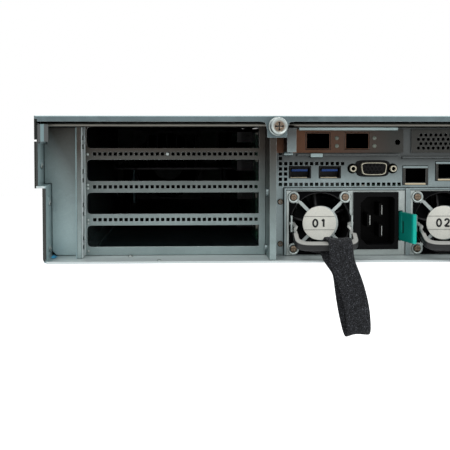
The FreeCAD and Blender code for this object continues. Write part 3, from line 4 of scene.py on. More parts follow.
import bpy
import numpy as np
from bpy.props import FloatProperty, FloatVectorProperty, PointerProperty
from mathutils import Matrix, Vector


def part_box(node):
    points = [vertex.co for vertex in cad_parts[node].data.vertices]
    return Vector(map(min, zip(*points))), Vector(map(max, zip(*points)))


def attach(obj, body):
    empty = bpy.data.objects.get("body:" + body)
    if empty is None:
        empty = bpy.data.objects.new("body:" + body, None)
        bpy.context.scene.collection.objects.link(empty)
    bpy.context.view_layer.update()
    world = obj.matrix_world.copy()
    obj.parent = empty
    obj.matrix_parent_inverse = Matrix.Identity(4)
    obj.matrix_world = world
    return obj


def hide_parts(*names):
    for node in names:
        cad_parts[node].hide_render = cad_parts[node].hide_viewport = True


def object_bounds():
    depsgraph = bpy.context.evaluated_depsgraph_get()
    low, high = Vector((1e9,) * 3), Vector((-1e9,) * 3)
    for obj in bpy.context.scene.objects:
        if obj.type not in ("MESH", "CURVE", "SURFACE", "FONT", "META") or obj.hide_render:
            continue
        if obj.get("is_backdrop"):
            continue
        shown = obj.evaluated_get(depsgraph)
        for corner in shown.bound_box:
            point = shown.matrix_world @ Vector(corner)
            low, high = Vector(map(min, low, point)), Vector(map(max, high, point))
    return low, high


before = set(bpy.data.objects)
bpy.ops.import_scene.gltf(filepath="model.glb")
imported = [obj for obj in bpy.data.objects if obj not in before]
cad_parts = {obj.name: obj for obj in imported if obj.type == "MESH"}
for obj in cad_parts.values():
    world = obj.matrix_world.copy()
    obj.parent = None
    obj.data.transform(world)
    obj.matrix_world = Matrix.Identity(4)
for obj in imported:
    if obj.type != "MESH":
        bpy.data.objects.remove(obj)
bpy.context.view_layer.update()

bl_info = {
    "name": "Rack server",
    "version": (1, 0, 0),
    "blender": (4, 5, 0),
    "location": "3D View > Sidebar > Rack server",
    "description": "Finishes, straps and fine pieces of a two-unit rack server",
    "category": "Object",
}

MM = 0.001
SIDES = ("left", "right")
UP, OUT, IN, RIGHT = (0.0, 0.0, 1.0), (0.0, -1.0, 0.0), (0.0, 1.0, 0.0), (1.0, 0.0, 0.0)

# In mm, the sheet's thickness and planes of the solids: the chassis' rear edge and inner floor, the slot
# panels and the port panel.
SHEET = 1.2
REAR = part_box("chassis_base")[0].y / MM
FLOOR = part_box("chassis_base")[0].z / MM + SHEET
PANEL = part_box("left_slot_panel")[1].y / MM - SHEET
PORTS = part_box("io_panel")[0].y / MM

# The fan guards in metres: their plate, their rear face and the reach of their screws from the fan's axis.
GUARD_PLATE = 0.0015
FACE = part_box("psu_left_fan_frame")[0].y - GUARD_PLATE
SCREW_REACH = 0.016

# A pressed cross reaches this many times its depth from the middle of a screw.
CROSS_REACH = 2.6


def fan_centre(side):
    """Where the axis of a supply's fan meets its rear face."""
    low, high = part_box(f"psu_{side}_rotor")
    return np.array([(low.x + high.x) / 2, FACE, (low.z + high.z) / 2])


def size(name, use, start):
    """A length property, in metres."""
    return FloatProperty(name=name, description=use, default=start, min=0.0, unit="LENGTH", precision=5)


def shade(name, use, start):
    """A colour property; start is given as it looks on screen, 0 to 255."""
    linear = [(c / 255 / 12.92) if c < 10 else ((c / 255 + 0.055) / 1.055) ** 2.4 for c in start]
    return FloatVectorProperty(name=name, description=use, default=linear, min=0.0, max=1.0, subtype="COLOR")


class ServerSizes(bpy.types.PropertyGroup):
    """Lengths of the pieces made here."""

    floor_drop: size("Floor drop", "Floor below the lowest strap", 0.42)
    strap_thick: size("Strap layer", "Thickness of one layer of strap", 0.0013)
    strap_wide: size("Strap width", "Width of the strap", 0.0142)
    rib_pitch: size("Strap ribs", "Spacing of the ribs on the strap's hook side", 0.0011)
    edge_round: size("Edge rounding", "How far the sheet edges shine", 0.0003)


class ServerColours(bpy.types.PropertyGroup):
    """Colours of the finishes."""

    wall: shade("Walls", "Galvanised sheet of the chassis", (112, 134, 137))
    lit: shade("Lit rear", "The same sheet inside the rear edge, where it is bright", (158, 180, 182))
    panel: shade("Panels", "Sheet of the rear panels and cages, low down", (134, 149, 149))
    # Painted highlight: this lighter sheet goes on the outer corners of the cage flanges, the fronts of the
    # posts and the corner of the cover's rear lip.
    glow: shade("Panel glow", "Light corners of the cage flanges, posts and cover lip", (166, 188, 190))
    dusk: shade("Panel tops", "The same sheet high up, where it mirrors a dark room", (62, 58, 54))
    port: shade("Port panel", "Sheet round the sockets, latch and screw plates", (124, 136, 137))
    shadow: shade("Port panel top", "Sheet under the expansion brackets, and the coolers", (74, 77, 77))
    # Painted highlight and painted light: the edges of the floor, the walls' step and the posts' sides, and
    # the floor strip inside the rear edge.
    lip: shade("Bright edges", "Edges of the floor, the walls' step and the posts", (190, 200, 200))
    # Cut edges of the walls and cover are this dark; on the beam's top and on the fan bracket it is painted
    # shade.
    cut: shade("Cut edges", "Cut edges of walls and cover, beam top and fan bracket", (40, 42, 40))
    cover: shade("Cover", "Sheet of the cover, front deck and trays", (96, 109, 112))
    beam: shade("Beam", "Rolled beam under the cover", (104, 102, 96))
    # Also a painted highlight: it makes the weld dots, stamps and wall crescents lighter than the sheet
    # round them.
    unit: shade("Supply sheet", "Sheet of the supplies, their collars and the weld dots", (154, 162, 160))
    nickel: shade("Nickel", "Handle wire and the inlets' blades", (200, 202, 198))
    rim: shade("Shell", "Rim and jackscrews of the display socket", (168, 164, 148))
    screw: shade("Screws", "Dark plated screws", (112, 98, 84))
    black: shade("Black plastic", "Moulded black parts", (18, 19, 20))
    # On the memory modules this black is painted shade; on the inlets, guards and display socket it is their
    # own black.
    deep: shade("Inlet plastic", "Black of the inlets, guards, memory and display socket", (9, 9, 10))
    # Painted shade in black inside sockets, slots, wells, slits, screw crosses and on parts deep inside;
    # also the own black of the foam and the USB plastic.
    void: shade("Socket insides", "Black insides of sockets, slots and screw crosses", (2, 2, 2))
    green: shade("Green plastic", "Release latches, flat side", (0, 116, 104))
    green_lit: shade("Green edge", "Release latches, rounded outer end", (0, 168, 152))
    grip_top: shade("Grip top", "Light upper face of the handle grips", (168, 168, 163))
    strap: shade("Strap", "Pile of the strap", (27, 28, 30))
    board: shade("Board", "Solder mask of the circuit boards", (8, 34, 25))
    bronze: shade("Bracket", "Brown of the card bracket and the transceiver cages", (84, 60, 47))
    smoke: shade("Bracket end", "Grey of the card bracket, the blank and the sockets", (58, 58, 56))
    tongue: shade("Tongue", "Blue tongues of the USB sockets", (0, 50, 112))
    beige: shade("Beige lip", "Lower lips of the sockets", (176, 166, 142))
    label: shade("Label", "Discs on the fan guards", (216, 215, 206))
    ink: shade("Ink", "Numbers and rules on the discs", (26, 27, 28))
    lamp: shade("Lamp lens", "Lenses beside the transceiver cages", (118, 124, 114))
    mark: shade("Mark", "Small blue mark in the lower left corner", (0, 168, 222))
    white: shade("Background", "Background beyond the floor", (255, 255, 255))


def plug(tree, socket, given):
    """Links another node's output to a socket, or sets the socket's constant."""
    if isinstance(given, bpy.types.NodeSocket):
        tree.links.new(given, socket)
    else:
        socket.default_value = given


def feed(tree, sockets, **outputs):
    """Links outputs to sockets by name; underscores in a name stand for spaces."""
    for key, output in outputs.items():
        tree.links.new(output, sockets[key.replace("_", " ")])


def add(tree, kind, inputs=None, **settings):
    """Adds a shader node; each input is a constant or another node's output."""
    item = tree.nodes.new(kind)
    for key, setting in settings.items():
        setattr(item, key, setting)
    for key, given in (inputs or {}).items():
        plug(tree, item.inputs[key], given)
    return item


def maths(tree, operation, a, b=0.0, c=0.0):
    """One Math node's output."""
    return add(tree, "ShaderNodeMath", {0: a, 1: b, 2: c}, operation=operation).outputs[0]


def vector(tree, operation, a, b=(0.0, 0.0, 0.0), output="Vector"):
    """One Vector Math node's output: its vector or its value."""
    return add(tree, "ShaderNodeVectorMath", {0: a, 1: b}, operation=operation).outputs[output]


def scaled(tree, a, factor):
    """A colour or vector times a factor."""
    return add(tree, "ShaderNodeVectorMath", {0: a, "Scale": factor}, operation="SCALE").outputs[0]


def here(tree):
    """The place on the object."""
    return add(tree, "ShaderNodeTexCoord").outputs["Object"]


def noise(tree, place, scale, detail=2.0, output=0):
    """One Noise Texture's output."""
    given = {"Vector": place, "Scale": scale, "Detail": detail}
    return add(tree, "ShaderNodeTexNoise", given).outputs[output]


def varied(tree, tone, value, share):
    """A tone moved up or down by a share of how far a value lies from a half."""
    return maths(tree, "MULTIPLY_ADD", maths(tree, "SUBTRACT", value, 0.5), share, tone)


def spread(tree, value, low, high, to_low=0.0, to_high=1.0):
    """Maps a range of values on another, clamped."""
    given = {0: value, 1: low, 2: high, 3: to_low, 4: to_high}
    return add(tree, "ShaderNodeMapRange", given).outputs[0]


def mixed(tree, factor, a, b):
    """Mixes two colours."""
    return add(tree, "ShaderNodeMix", {0: factor, 6: a, 7: b}, data_type="RGBA").outputs[2]


def new_group(name, takes, gives):
    """An empty node group with its sockets: its tree, what it takes and what it gives."""
    tree = bpy.data.node_groups.new(name, "ShaderNodeTree")
    for label, kind, start in takes:
        tree.interface.new_socket(label, in_out="INPUT", socket_type=kind).default_value = start
    for label, kind in gives:
        tree.interface.new_socket(label, in_out="OUTPUT", socket_type=kind)
    return tree, tree.nodes.new("NodeGroupInput").outputs, tree.nodes.new("NodeGroupOutput").inputs


COLOUR, NUMBER, ARROW = "NodeSocketColor", "NodeSocketFloat", "NodeSocketVector"
FINISH = [("Color", COLOUR), ("Roughness", NUMBER), ("Height", NUMBER)]
MASK = [("Mask", NUMBER)]


def zinc_group():
    """Galvanised sheet: crystals of slightly different tone, cloudy mottling and fine rub marks."""
    tree, takes, gives = new_group("zinc_sheet", [
        ("Tint", COLOUR, (0.2, 0.2, 0.2, 1)), ("Crystals", NUMBER, 260.0), ("Contrast", NUMBER, 0.1)],
                                   FINISH)
    place = here(tree)
    cells = add(tree, "ShaderNodeTexVoronoi", {"Vector": place, "Scale": takes["Crystals"]})
    grey = add(tree, "ShaderNodeRGBToBW", {0: cells.outputs["Color"]}).outputs[0]
    clouds = noise(tree, place, 22.0, 5.0)
    grain = noise(tree, place, 1500.0, 3.0)
    rub = add(tree, "ShaderNodeMapping", {"Vector": place, "Scale": (40.0, 40.0, 2200.0)}).outputs[0]
    lines = noise(tree, rub, 1.0)
    tone = varied(tree, 1.0, grey, takes["Contrast"])
    tone = varied(tree, tone, clouds, 0.5)
    tone = varied(tree, tone, grain, 0.25)
    rough = maths(tree, "MULTIPLY_ADD", grey, 0.12, 0.24)
    rough = maths(tree, "MULTIPLY_ADD", clouds, 0.22, rough)
    high = maths(tree, "MULTIPLY_ADD", lines, 0.6, grain)
    high = maths(tree, "MULTIPLY_ADD", grey, 0.3, high)
    feed(tree, gives, Color=scaled(tree, takes["Tint"], tone), Roughness=rough, Height=high)
    return tree


def edge_group():
    """Worn edges: where the normal rounded over a small width leaves the face's own normal."""
    tree, takes, gives = new_group("edge_wear", [("Width", NUMBER, 0.0004), ("Amount", NUMBER, 1.0)],
                                   [*MASK, ("Normal", ARROW)])
    soft = add(tree, "ShaderNodeBevel", {"Radius": takes["Width"]}, samples=4).outputs[0]
    flat = add(tree, "ShaderNodeNewGeometry").outputs["Normal"]
    bent = spread(tree, vector(tree, "DOT_PRODUCT", soft, flat, "Value"), 0.995, 0.80)
    chips = noise(tree, here(tree), 420.0, 4.0)
    worn = maths(tree, "MULTIPLY", bent, spread(tree, chips, 0.35, 0.6, 0.45, 1.0))
    feed(tree, gives, Mask=maths(tree, "MULTIPLY", worn, takes["Amount"]), Normal=soft)
    return tree


def grain_group():
    """Moulded plastic: a fine spark-eroded texture with faint flow marks."""
    tree, takes, gives = new_group("moulded_grain", [
        ("Tint", COLOUR, (0.02, 0.02, 0.02, 1)), ("Grain", NUMBER, 2600.0)], FINISH)
    place = here(tree)
    fine = noise(tree, place, takes["Grain"])
    flow = noise(tree, place, 60.0, 4.0)
    tone = varied(tree, varied(tree, 1.0, flow, 0.5), fine, 0.35)
    feed(tree, gives, Color=scaled(tree, takes["Tint"], tone),
         Roughness=maths(tree, "MULTIPLY_ADD", flow, 0.3, 0.28), Height=fine)
    return tree


def board_group():
    """Circuit board: copper tracks showing through the solder mask, and tinned pads in rows."""
    copper, tin = (0.05, 0.16, 0.09, 1), (0.45, 0.42, 0.36, 1)
    tree, takes, gives = new_group("board_tracks", [("Mask tint", COLOUR, (0.01, 0.05, 0.03, 1))], FINISH)
    place = here(tree)
    cells = add(tree, "ShaderNodeTexVoronoi", {"Vector": place, "Scale": 120.0}, distance="CHEBYCHEV")
    tracks = add(tree, "ShaderNodeTexVoronoi", {"Vector": place, "Scale": 260.0}, feature="DISTANCE_TO_EDGE")
    line = spread(tree, tracks.outputs["Distance"], 0.05, 0.09, 1.0, 0.0)
    pads = spread(tree, cells.outputs["Distance"], 0.16, 0.19, 1.0, 0.0)
    lit = mixed(tree, maths(tree, "MULTIPLY", line, 0.35), takes["Mask tint"], copper)
    feed(tree, gives, Color=mixed(tree, maths(tree, "MULTIPLY", pads, 0.8), lit, tin),
         Roughness=maths(tree, "MULTIPLY_ADD", line, 0.15, 0.28), Height=maths(tree, "ADD", line, pads))
    return tree


def within_group():
    """A mask that is 1 inside a box given by two opposite corners."""
    tree, takes, gives = new_group("within_box", [
        ("Low", ARROW, (0, 0, 0)), ("High", ARROW, (1, 1, 1))], MASK)
    place = here(tree)
    over = vector(tree, "SUBTRACT", place, takes["Low"])
    under = vector(tree, "SUBTRACT", takes["High"], place)
    x, y, z = add(tree, "ShaderNodeSeparateXYZ", {0: vector(tree, "MINIMUM", over, under)}).outputs
    lowest = maths(tree, "MINIMUM", maths(tree, "MINIMUM", x, y), z)
    feed(tree, gives, Mask=maths(tree, "GREATER_THAN", lowest, 0.0))
    return tree


def along_group():
    """A mask that rises from 0 to 1 between two distances along an axis."""
    tree, takes, gives = new_group("along_axis", [
        ("Axis", ARROW, (0, 0, 1)), ("From", NUMBER, 0.0), ("To", NUMBER, 1.0)], MASK)
    way = vector(tree, "DOT_PRODUCT", here(tree), takes["Axis"], "Value")
    feed(tree, gives, Mask=spread(tree, way, takes["From"], takes["To"]))
    return tree


def radial_group():
    """A mask that rises from 0 to 1 with the distance from a line along Y through a point."""
    tree, takes, gives = new_group("radial", [
        ("Centre", ARROW, (0, 0, 0)), ("From", NUMBER, 0.0), ("To", NUMBER, 1.0)], MASK)
    apart = vector(tree, "SUBTRACT", here(tree), takes["Centre"])
    far = vector(tree, "LENGTH", vector(tree, "MULTIPLY", apart, (1, 0, 1)), output="Value")
    feed(tree, gives, Mask=spread(tree, far, takes["From"], takes["To"]))
    return tree


def guard_group():
    """A mask of the black corners round a fan: inside the square, outside the opening, the collars of the
    four screws and the four spokes."""
    square, taller, opening, spoke, collar = 0.0189, 0.0008, 0.0178, 0.0018, 0.0037
    tree, takes, gives = new_group("fan_guard", [("Centre", ARROW, (0, 0, 0))], MASK)
    fold = vector(tree, "ABSOLUTE", vector(tree, "SUBTRACT", here(tree), takes["Centre"]))
    x, y, z = add(tree, "ShaderNodeSeparateXYZ", {0: fold}).outputs
    flat = vector(tree, "MULTIPLY", fold, (1, 0, 1))
    corner = vector(tree, "SUBTRACT", flat, (SCREW_REACH, 0, SCREW_REACH))
    beside = maths(tree, "ABSOLUTE", maths(tree, "SUBTRACT", x, z))
    mask = maths(tree, "LESS_THAN", maths(tree, "MAXIMUM", x, maths(tree, "SUBTRACT", z, taller)), square)
    mask = maths(tree, "MULTIPLY", mask, maths(tree, "LESS_THAN", y, GUARD_PLATE))
    for distance, least in ((vector(tree, "LENGTH", flat, output="Value"), opening), (beside, spoke),
                            (vector(tree, "LENGTH", corner, output="Value"), collar)):
        mask = maths(tree, "MULTIPLY", mask, maths(tree, "GREATER_THAN", distance, least))
    feed(tree, gives, Mask=mask)
    return tree


def pile_group():
    """Hook-and-loop cloth: curled loops as crumpled cells, with lint and light tips."""
    tree, takes, gives = new_group("loop_pile", [
        ("Tint", COLOUR, (0.02, 0.02, 0.02, 1)), ("Loops", NUMBER, 1500.0)], FINISH)
    place = here(tree)
    bend = scaled(tree, noise(tree, place, 900.0, 3.0, "Color"), 0.0011)
    moved = vector(tree, "ADD", place, bend)
    loops = add(tree, "ShaderNodeTexVoronoi", {"Vector": moved, "Scale": takes["Loops"]}).outputs["Distance"]
    clumps = noise(tree, place, 700.0, 4.0)
    tips = spread(tree, loops, 0.15, 0.75)
    lint = spread(tree, noise(tree, moved, 1900.0), 0.56, 0.72, 1.0, 6.0)
    tone = maths(tree, "MULTIPLY", spread(tree, tips, 0.0, 1.0, 0.35, 1.9), lint)
    tone = maths(tree, "MULTIPLY", tone, spread(tree, clumps, 0.3, 0.7, 0.55, 1.6))
    feed(tree, gives, Color=scaled(tree, takes["Tint"], tone),
         Roughness=spread(tree, clumps, 0.3, 0.7, 0.8, 0.95),
         Height=maths(tree, "MULTIPLY_ADD", clumps, 1.2, tips))
    return tree


MAKERS = {"zinc": zinc_group, "edges": edge_group, "grain": grain_group, "board": board_group,
          "within": within_group, "along": along_group, "radial": radial_group, "guard": guard_group,
          "pile": pile_group}
GROUPS = {}


def use(tree, name, **inputs):
    """Places a shared group in a material, made when it is first asked for; underscores in an input's name
    stand for spaces."""
    if name not in GROUPS:
        GROUPS[name] = MAKERS[name]()
    item = tree.nodes.new("ShaderNodeGroup")
    item.node_tree = GROUPS[name]
    for key, given in inputs.items():
        plug(tree, item.inputs[key.replace("_", " ")], given)
    return item.outputs


def surface(name, **constants):
    """A new material with one Principled shader whose constant sockets are set."""
    made = bpy.data.materials.new(name)
    made.use_nodes = True
    shader = made.node_tree.nodes["Principled BSDF"]
    for key, given in constants.items():
        shader.inputs[key.replace("_", " ")].default_value = given
    return made, made.node_tree, shader


def solid_colour(name):
    """One of the colours of the scene's settings, with full alpha."""
    return (*getattr(bpy.context.scene.server_colours, name), 1.0)


def relief(tree, shader, height, normal=None, distance=0.00004, strength=0.6):
    """Puts a height on the shader as bumps, over a rounded normal where one is given."""
    given = {"Height": height, "Distance": distance, "Strength": strength}
    if normal is not None:
        given["Normal"] = normal
    feed(tree, shader.inputs, Normal=add(tree, "ShaderNodeBump", given).outputs[0])


def fade_mask(tree, axis, start, end):
    """A mask that rises between two distances in mm along an axis."""
    return use(tree, "along", Axis=axis, From=start * MM, To=end * MM)["Mask"]


def box_mask(tree, low, high):
    """A mask that is 1 in a box given by two corners in mm."""
    low, high = [tuple(c * MM for c in corner) for corner in (low, high)]
    return use(tree, "within", Low=low, High=high)["Mask"]


def faded(tree, colour, fades):
    """Blends a colour into others; each fade is (axis, start in mm, end in mm, colour name)."""
    for axis, start, end, name in fades:
        colour = mixed(tree, fade_mask(tree, axis, start, end), colour, solid_colour(name))
    return colour


def patched(tree, colour, patches):
    """Paints boxes of the object; each patch is (lowest corner in mm, highest corner in mm, colour name)
    and may end with a fade (axis, start, end) that it follows."""
    for low, high, name, *fades in patches:
        mask = box_mask(tree, low, high)
        for fade in fades:
            mask = maths(tree, "MULTIPLY", mask, fade_mask(tree, *fade))
        colour = mixed(tree, mask, colour, solid_colour(name))
    return colour


def ringed(tree, colour, rings):
    """Paints what is far from lines along Y; each ring is (centre in mm, from, to, colour name)."""
    for centre, start, end, name in rings:
        centre = tuple(c * MM for c in centre)
        mask = use(tree, "radial", Centre=centre, From=start * MM, To=end * MM)["Mask"]
        colour = mixed(tree, mask, colour, solid_colour(name))
    return colour


def matt_share(tree, boxes, least):
    """How metallic the surface is: 1, but least inside the boxes, where rough zinc scatters the light."""
    share = 0.0
    for low, high in boxes:
        share = maths(tree, "MAXIMUM", box_mask(tree, low, high), share)
    return maths(tree, "MULTIPLY_ADD", share, least - 1.0, 1.0)


def both_sides(patches):
    """The patches and their mirror images about X = 0."""
    swapped = [((-high[0], *low[1:]), (-low[0], *high[1:]), *rest) for low, high, *rest in patches]
    return [*patches, *swapped]


def shaded_rear_end(y):
    """A patch of painted shade that blackens what faces the rear at a depth inside the open slots."""
    return (-300, y - 0.5, -60), (300, y + 0.5, 60), "void"


def sheet_metal(name, tint, crystals=260.0, contrast=0.14, wear=0.8, fades=(), patches=(), rings=(),
                guard=None, matt=(), least=0.25):
    """Galvanised sheet with bright worn edges. Fades, rings and patches are painted on it, guard is the
    centre of a fan with black corners, and in the matt boxes it is only as metallic as least says."""
    worn_zinc = (0.55, 0.6, 0.6, 1.0)
    made, tree, shader = surface(name, Metallic=1.0)
    base = ringed(tree, faded(tree, solid_colour(tint), fades), rings)
    zinc = use(tree, "zinc", Tint=base, Crystals=crystals, Contrast=contrast)
    edges = use(tree, "edges", Width=bpy.context.scene.server_sizes.edge_round, Amount=wear)
    colour = patched(tree, mixed(tree, edges["Mask"], zinc["Color"], worn_zinc), patches)
    if guard is not None:
        colour = mixed(tree, use(tree, "guard", Centre=guard)["Mask"], colour, solid_colour("deep"))
    feed(tree, shader.inputs, Base_Color=colour, Roughness=zinc["Roughness"])
    if matt:
        feed(tree, shader.inputs, Metallic=matt_share(tree, matt, least))
    relief(tree, shader, zinc["Height"], edges["Normal"])
    return made


def plastic(name, tint, grain=2600.0, wear=0.25, edge=(0.2, 0.2, 0.2, 1.0), bump=0.00005, fades=(),
            patches=(), gloss=0.3):
    """Moulded plastic with a fine grain and slightly lighter edges."""
    made, tree, shader = surface(name, Specular_IOR_Level=gloss)
    grains = use(tree, "grain", Tint=faded(tree, solid_colour(tint), fades), Grain=grain)
    edges = use(tree, "edges", Width=0.0004, Amount=wear)
    colour = patched(tree, mixed(tree, edges["Mask"], grains["Color"], edge), patches)
    feed(tree, shader.inputs, Base_Color=colour, Roughness=grains["Roughness"])
    relief(tree, shader, grains["Height"], edges["Normal"], distance=bump)
    return made


def circuit_board(name, patches=()):
    """Green solder mask with tracks and pads, with patches painted on it."""
    made, tree, shader = surface(name, Coat_Weight=0.1, Specular_IOR_Level=0.15)
    tracks = use(tree, "board", Mask_tint=solid_colour("board"))
    colour = patched(tree, tracks["Color"], patches)
    feed(tree, shader.inputs, Base_Color=colour, Roughness=tracks["Roughness"])
    relief(tree, shader, tracks["Height"], distance=0.00005)
    return made


def strap_cloth(name):
    """Black loop pile, soft at grazing angles."""
    made, tree, shader = surface(name, Sheen_Weight=0.12, Sheen_Roughness=0.4, Specular_IOR_Level=0.12)
    pile = use(tree, "pile", Tint=solid_colour("strap"), Loops=1500.0)
    feed(tree, shader.inputs, Base_Color=pile["Color"], Roughness=pile["Roughness"])
    relief(tree, shader, pile["Height"], distance=0.0005, strength=0.9)
    return made


def dress(material, *nodes):
    """Gives CAD nodes a material on all their slots."""
    for name in nodes:
        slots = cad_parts[name].data.materials
        if len(slots) == 0:
            slots.append(material)
        for index in range(len(slots)):
            slots[index] = material


def build_mesh(name, points, faces, material, smooth=True):
    """Makes one object at the origin from points in metres and arrays of corner numbers."""
    mesh = bpy.data.meshes.new(name)
    mesh.from_pydata(points.tolist(), [], [face for part in faces for face in part.tolist()])
    mesh.update()
    mesh.polygons.foreach_set("use_smooth", np.full(len(mesh.polygons), smooth))
    mesh.materials.append(material)
    made = bpy.data.objects.new(name, mesh)
    bpy.context.scene.collection.objects.link(made)
    return made


def grid_faces(rows, columns, close_rows=False, close_columns=False):
    """Corner numbers of the faces of a grid of rows by columns points, closed round on either way."""
    r = np.arange(rows if close_rows else rows - 1)[:, None]
    c = np.arange(columns if close_columns else columns - 1)[None, :]
    r2, c2 = (r + 1) % rows, (c + 1) % columns
    corners = [r * columns + c, r * columns + c2, r2 * columns + c2, r2 * columns + c]
    return np.stack([np.broadcast_to(k, (len(r), c.shape[1])) for k in corners], -1).reshape(-1, 4)


def settle(body, slot, *pieces):
    """Puts pieces on a body; slot is not used."""
    for made in pieces:
        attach(made, body)


def pole_fan(first, count, pole):
    """Triangles from a ring of points, numbered from first, to one pole."""
    ring = first + np.arange(count)
    return np.stack([ring, np.roll(ring, -1), np.full(count, pole)], -1)


def copied(shape, faces, spots):
    """Points and faces of one shape on each spot (x, y, z, scale)."""
    points = np.vstack([shape * spot[3] + spot[:3] for spot in np.asarray(spots, float)])
    return points, [part + len(shape) * k for k in range(len(spots)) for part in faces]


def pressed_round(name, spots, rings, material, spokes=16, cross=0.0):
    """Turned faces on spots (x, y, z) that look to the rear: rings are (radius, height) from the rim in,
    closed by a pole. Four of the spokes drop by the depth of the cross, as far out as it reaches."""
    turn = np.linspace(0, 2 * math.pi, spokes, endpoint=False)
    radius, high = np.array(rings).T
    high = np.repeat(high[:, None], spokes, 1)
    arm = np.arange(spokes) % (spokes // 4) == 0
    high -= cross * (arm & (radius[:, None] < CROSS_REACH * cross))
    across = radius[:, None]
    ring = np.stack([across * np.cos(turn), -high, across * np.sin(turn)], -1).reshape(-1, 3)
    shape = np.vstack([ring, [[0.0, -high[-1, 0], 0.0]]])
    faces = [grid_faces(len(rings), spokes, False, True), pole_fan(len(ring) - spokes, spokes, len(ring))]
    return build_mesh(name, *copied(shape, faces, [(*spot, 1.0) for spot in spots]), material)


def smooth_line(points, count):
    """A curve through the given points: centripetal parameter, natural cubic in each coordinate."""
    points = np.asarray(points, float)
    steps = np.linalg.norm(np.diff(points, axis=0), axis=1) ** 0.5
    knots = np.concatenate([[0.0], np.cumsum(steps)])
    gaps = np.diff(knots)
    total = len(points)
    matrix = np.eye(total)
    right = np.zeros_like(points)
    inner = np.arange(1, total - 1)
    matrix[inner, inner - 1] = gaps[:-1]
    matrix[inner, inner] = 2 * (gaps[:-1] + gaps[1:])
    matrix[inner, inner + 1] = gaps[1:]
    slope = np.diff(points, axis=0) / gaps[:, None]
    right[1:-1] = 6 * np.diff(slope, axis=0)
    bend = np.linalg.solve(matrix, right)
    where = np.linspace(0, knots[-1], count)
    k = np.clip(np.searchsorted(knots, where, "right") - 1, 0, total - 2)
    g = gaps[k][:, None]
    a, b = (knots[k + 1] - where)[:, None] / g, (where - knots[k])[:, None] / g
    curve = a * points[k] + b * points[k + 1]
    return curve + ((a ** 3 - a) * bend[k] + (b ** 3 - b) * bend[k + 1]) * g ** 2 / 6


def heading(line):
    """Unit vectors along a line of points."""
    ahead = np.gradient(line, axis=0)
    return ahead / np.linalg.norm(ahead, axis=1)[:, None]


class SERVER_OT_stage(bpy.types.Operator):
    """Pale floor, soft lamps, white background and the camera."""

    bl_idname = "server.stage"
    bl_label = "Stage"

    def execute(self, context):
        context.scene.view_settings.view_transform = "Standard"
        low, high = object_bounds()
        bottom = low.z - context.scene.server_sizes.floor_drop
        self.floor(bottom)
        self.world(context.scene)
        middle = (low + high) / 2
        self.lamp("key_lamp", (-0.9, middle.y - 1.7, 1.5), (-0.1, -0.76, 0.0), 1.6, 26.0)
        self.lamp("fill_lamp", (1.3, middle.y - 1.5, 0.9), (0.0, -0.6, 0.0), 1.6, 12.0)
        self.lamp("front_lamp", (0.4, middle.y + 1.9, 1.4), (0.0, middle.y, 0.0), 1.6, 26.0)
        self.camera(context.scene)
        return {"FINISHED"}

    @staticmethod
    def plainly_seen(tree):
        """1 for rays from the camera, in gloss or through glass."""
        path = add(tree, "ShaderNodeLightPath").outputs
        seen = maths(tree, "MAXIMUM", path["Is Camera Ray"], path["Is Transmission Ray"])
        return maths(tree, "MAXIMUM", seen, path["Is Glossy Ray"])

    @classmethod
    def floor(cls, height, reach=7.0):
        """A wide flat sheet, white to the camera and pale to the light."""
        made, tree, shader = surface("pale_floor", Roughness=0.9, Specular_IOR_Level=0.1,
                                     Emission_Color=(1.0, 1.0, 1.0, 1.0))
        cloud = noise(tree, here(tree), 3.0, 3.0)
        pale = mixed(tree, cloud, (0.88, 0.88, 0.88, 1), (0.92, 0.92, 0.92, 1))
        glow = maths(tree, "MULTIPLY", cls.plainly_seen(tree), 0.62)
        feed(tree, shader.inputs, Base_Color=pale, Emission_Strength=glow)
        u, v = np.meshgrid(np.linspace(-reach, reach, 2), np.linspace(-reach, reach, 2))
        points = np.stack([u, v, np.full_like(u, height)], -1).reshape(-1, 3)
        build_mesh("studio_floor", points, [grid_faces(2, 2)], made, smooth=False)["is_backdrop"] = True

    @classmethod
    def world(cls, scene):
        """Even soft light, seen as plain white directly, in gloss and through glass."""
        world = bpy.data.worlds.new("studio_light")
        world.use_nodes = True
        scene.world = world
        tree = world.node_tree
        tree.nodes.clear()
        light, white = [add(tree, "ShaderNodeBackground", {"Color": colour, "Strength": strength}).outputs[0]
                        for colour, strength in (((0.95, 0.98, 1.0, 1), 0.5), (solid_colour("white"), 1.0))]
        both = add(tree, "ShaderNodeMixShader", {0: cls.plainly_seen(tree), 1: light, 2: white}).outputs[0]
        add(tree, "ShaderNodeOutputWorld", {0: both})

    @staticmethod
    def lamp(name, spot, aim, width, power):
        """A square soft lamp turned to a point."""
        data = bpy.data.lights.new(name, "AREA")
        data.shape, data.size, data.energy = "SQUARE", width, power
        made = bpy.data.objects.new(name, data)
        bpy.context.scene.collection.objects.link(made)
        back = np.array(spot, float) - np.array(aim, float)
        flat = math.hypot(back[0], back[1])
        made.location = spot
        made.rotation_euler = (math.atan2(flat, back[2]), 0.0, math.atan2(back[0], -back[1]))

    @staticmethod
    def camera(scene):
        """The photograph's view: a long lens close behind the rear edge, left of the middle."""
        data = bpy.data.cameras.new("photo_camera")
        data.lens, data.sensor_width = 74.5, 36.0
        data.shift_y = -0.1055
        data.clip_start, data.clip_end = 0.01, 50.0
        made = bpy.data.objects.new("photo_camera", data)
        scene.collection.objects.link(made)
        made.location = (-0.1359, -1.3078, 0.0315)
        made.rotation_euler = (math.radians(90 - 2.541), 0.0, math.radians(-2.441))
        scene.camera = made


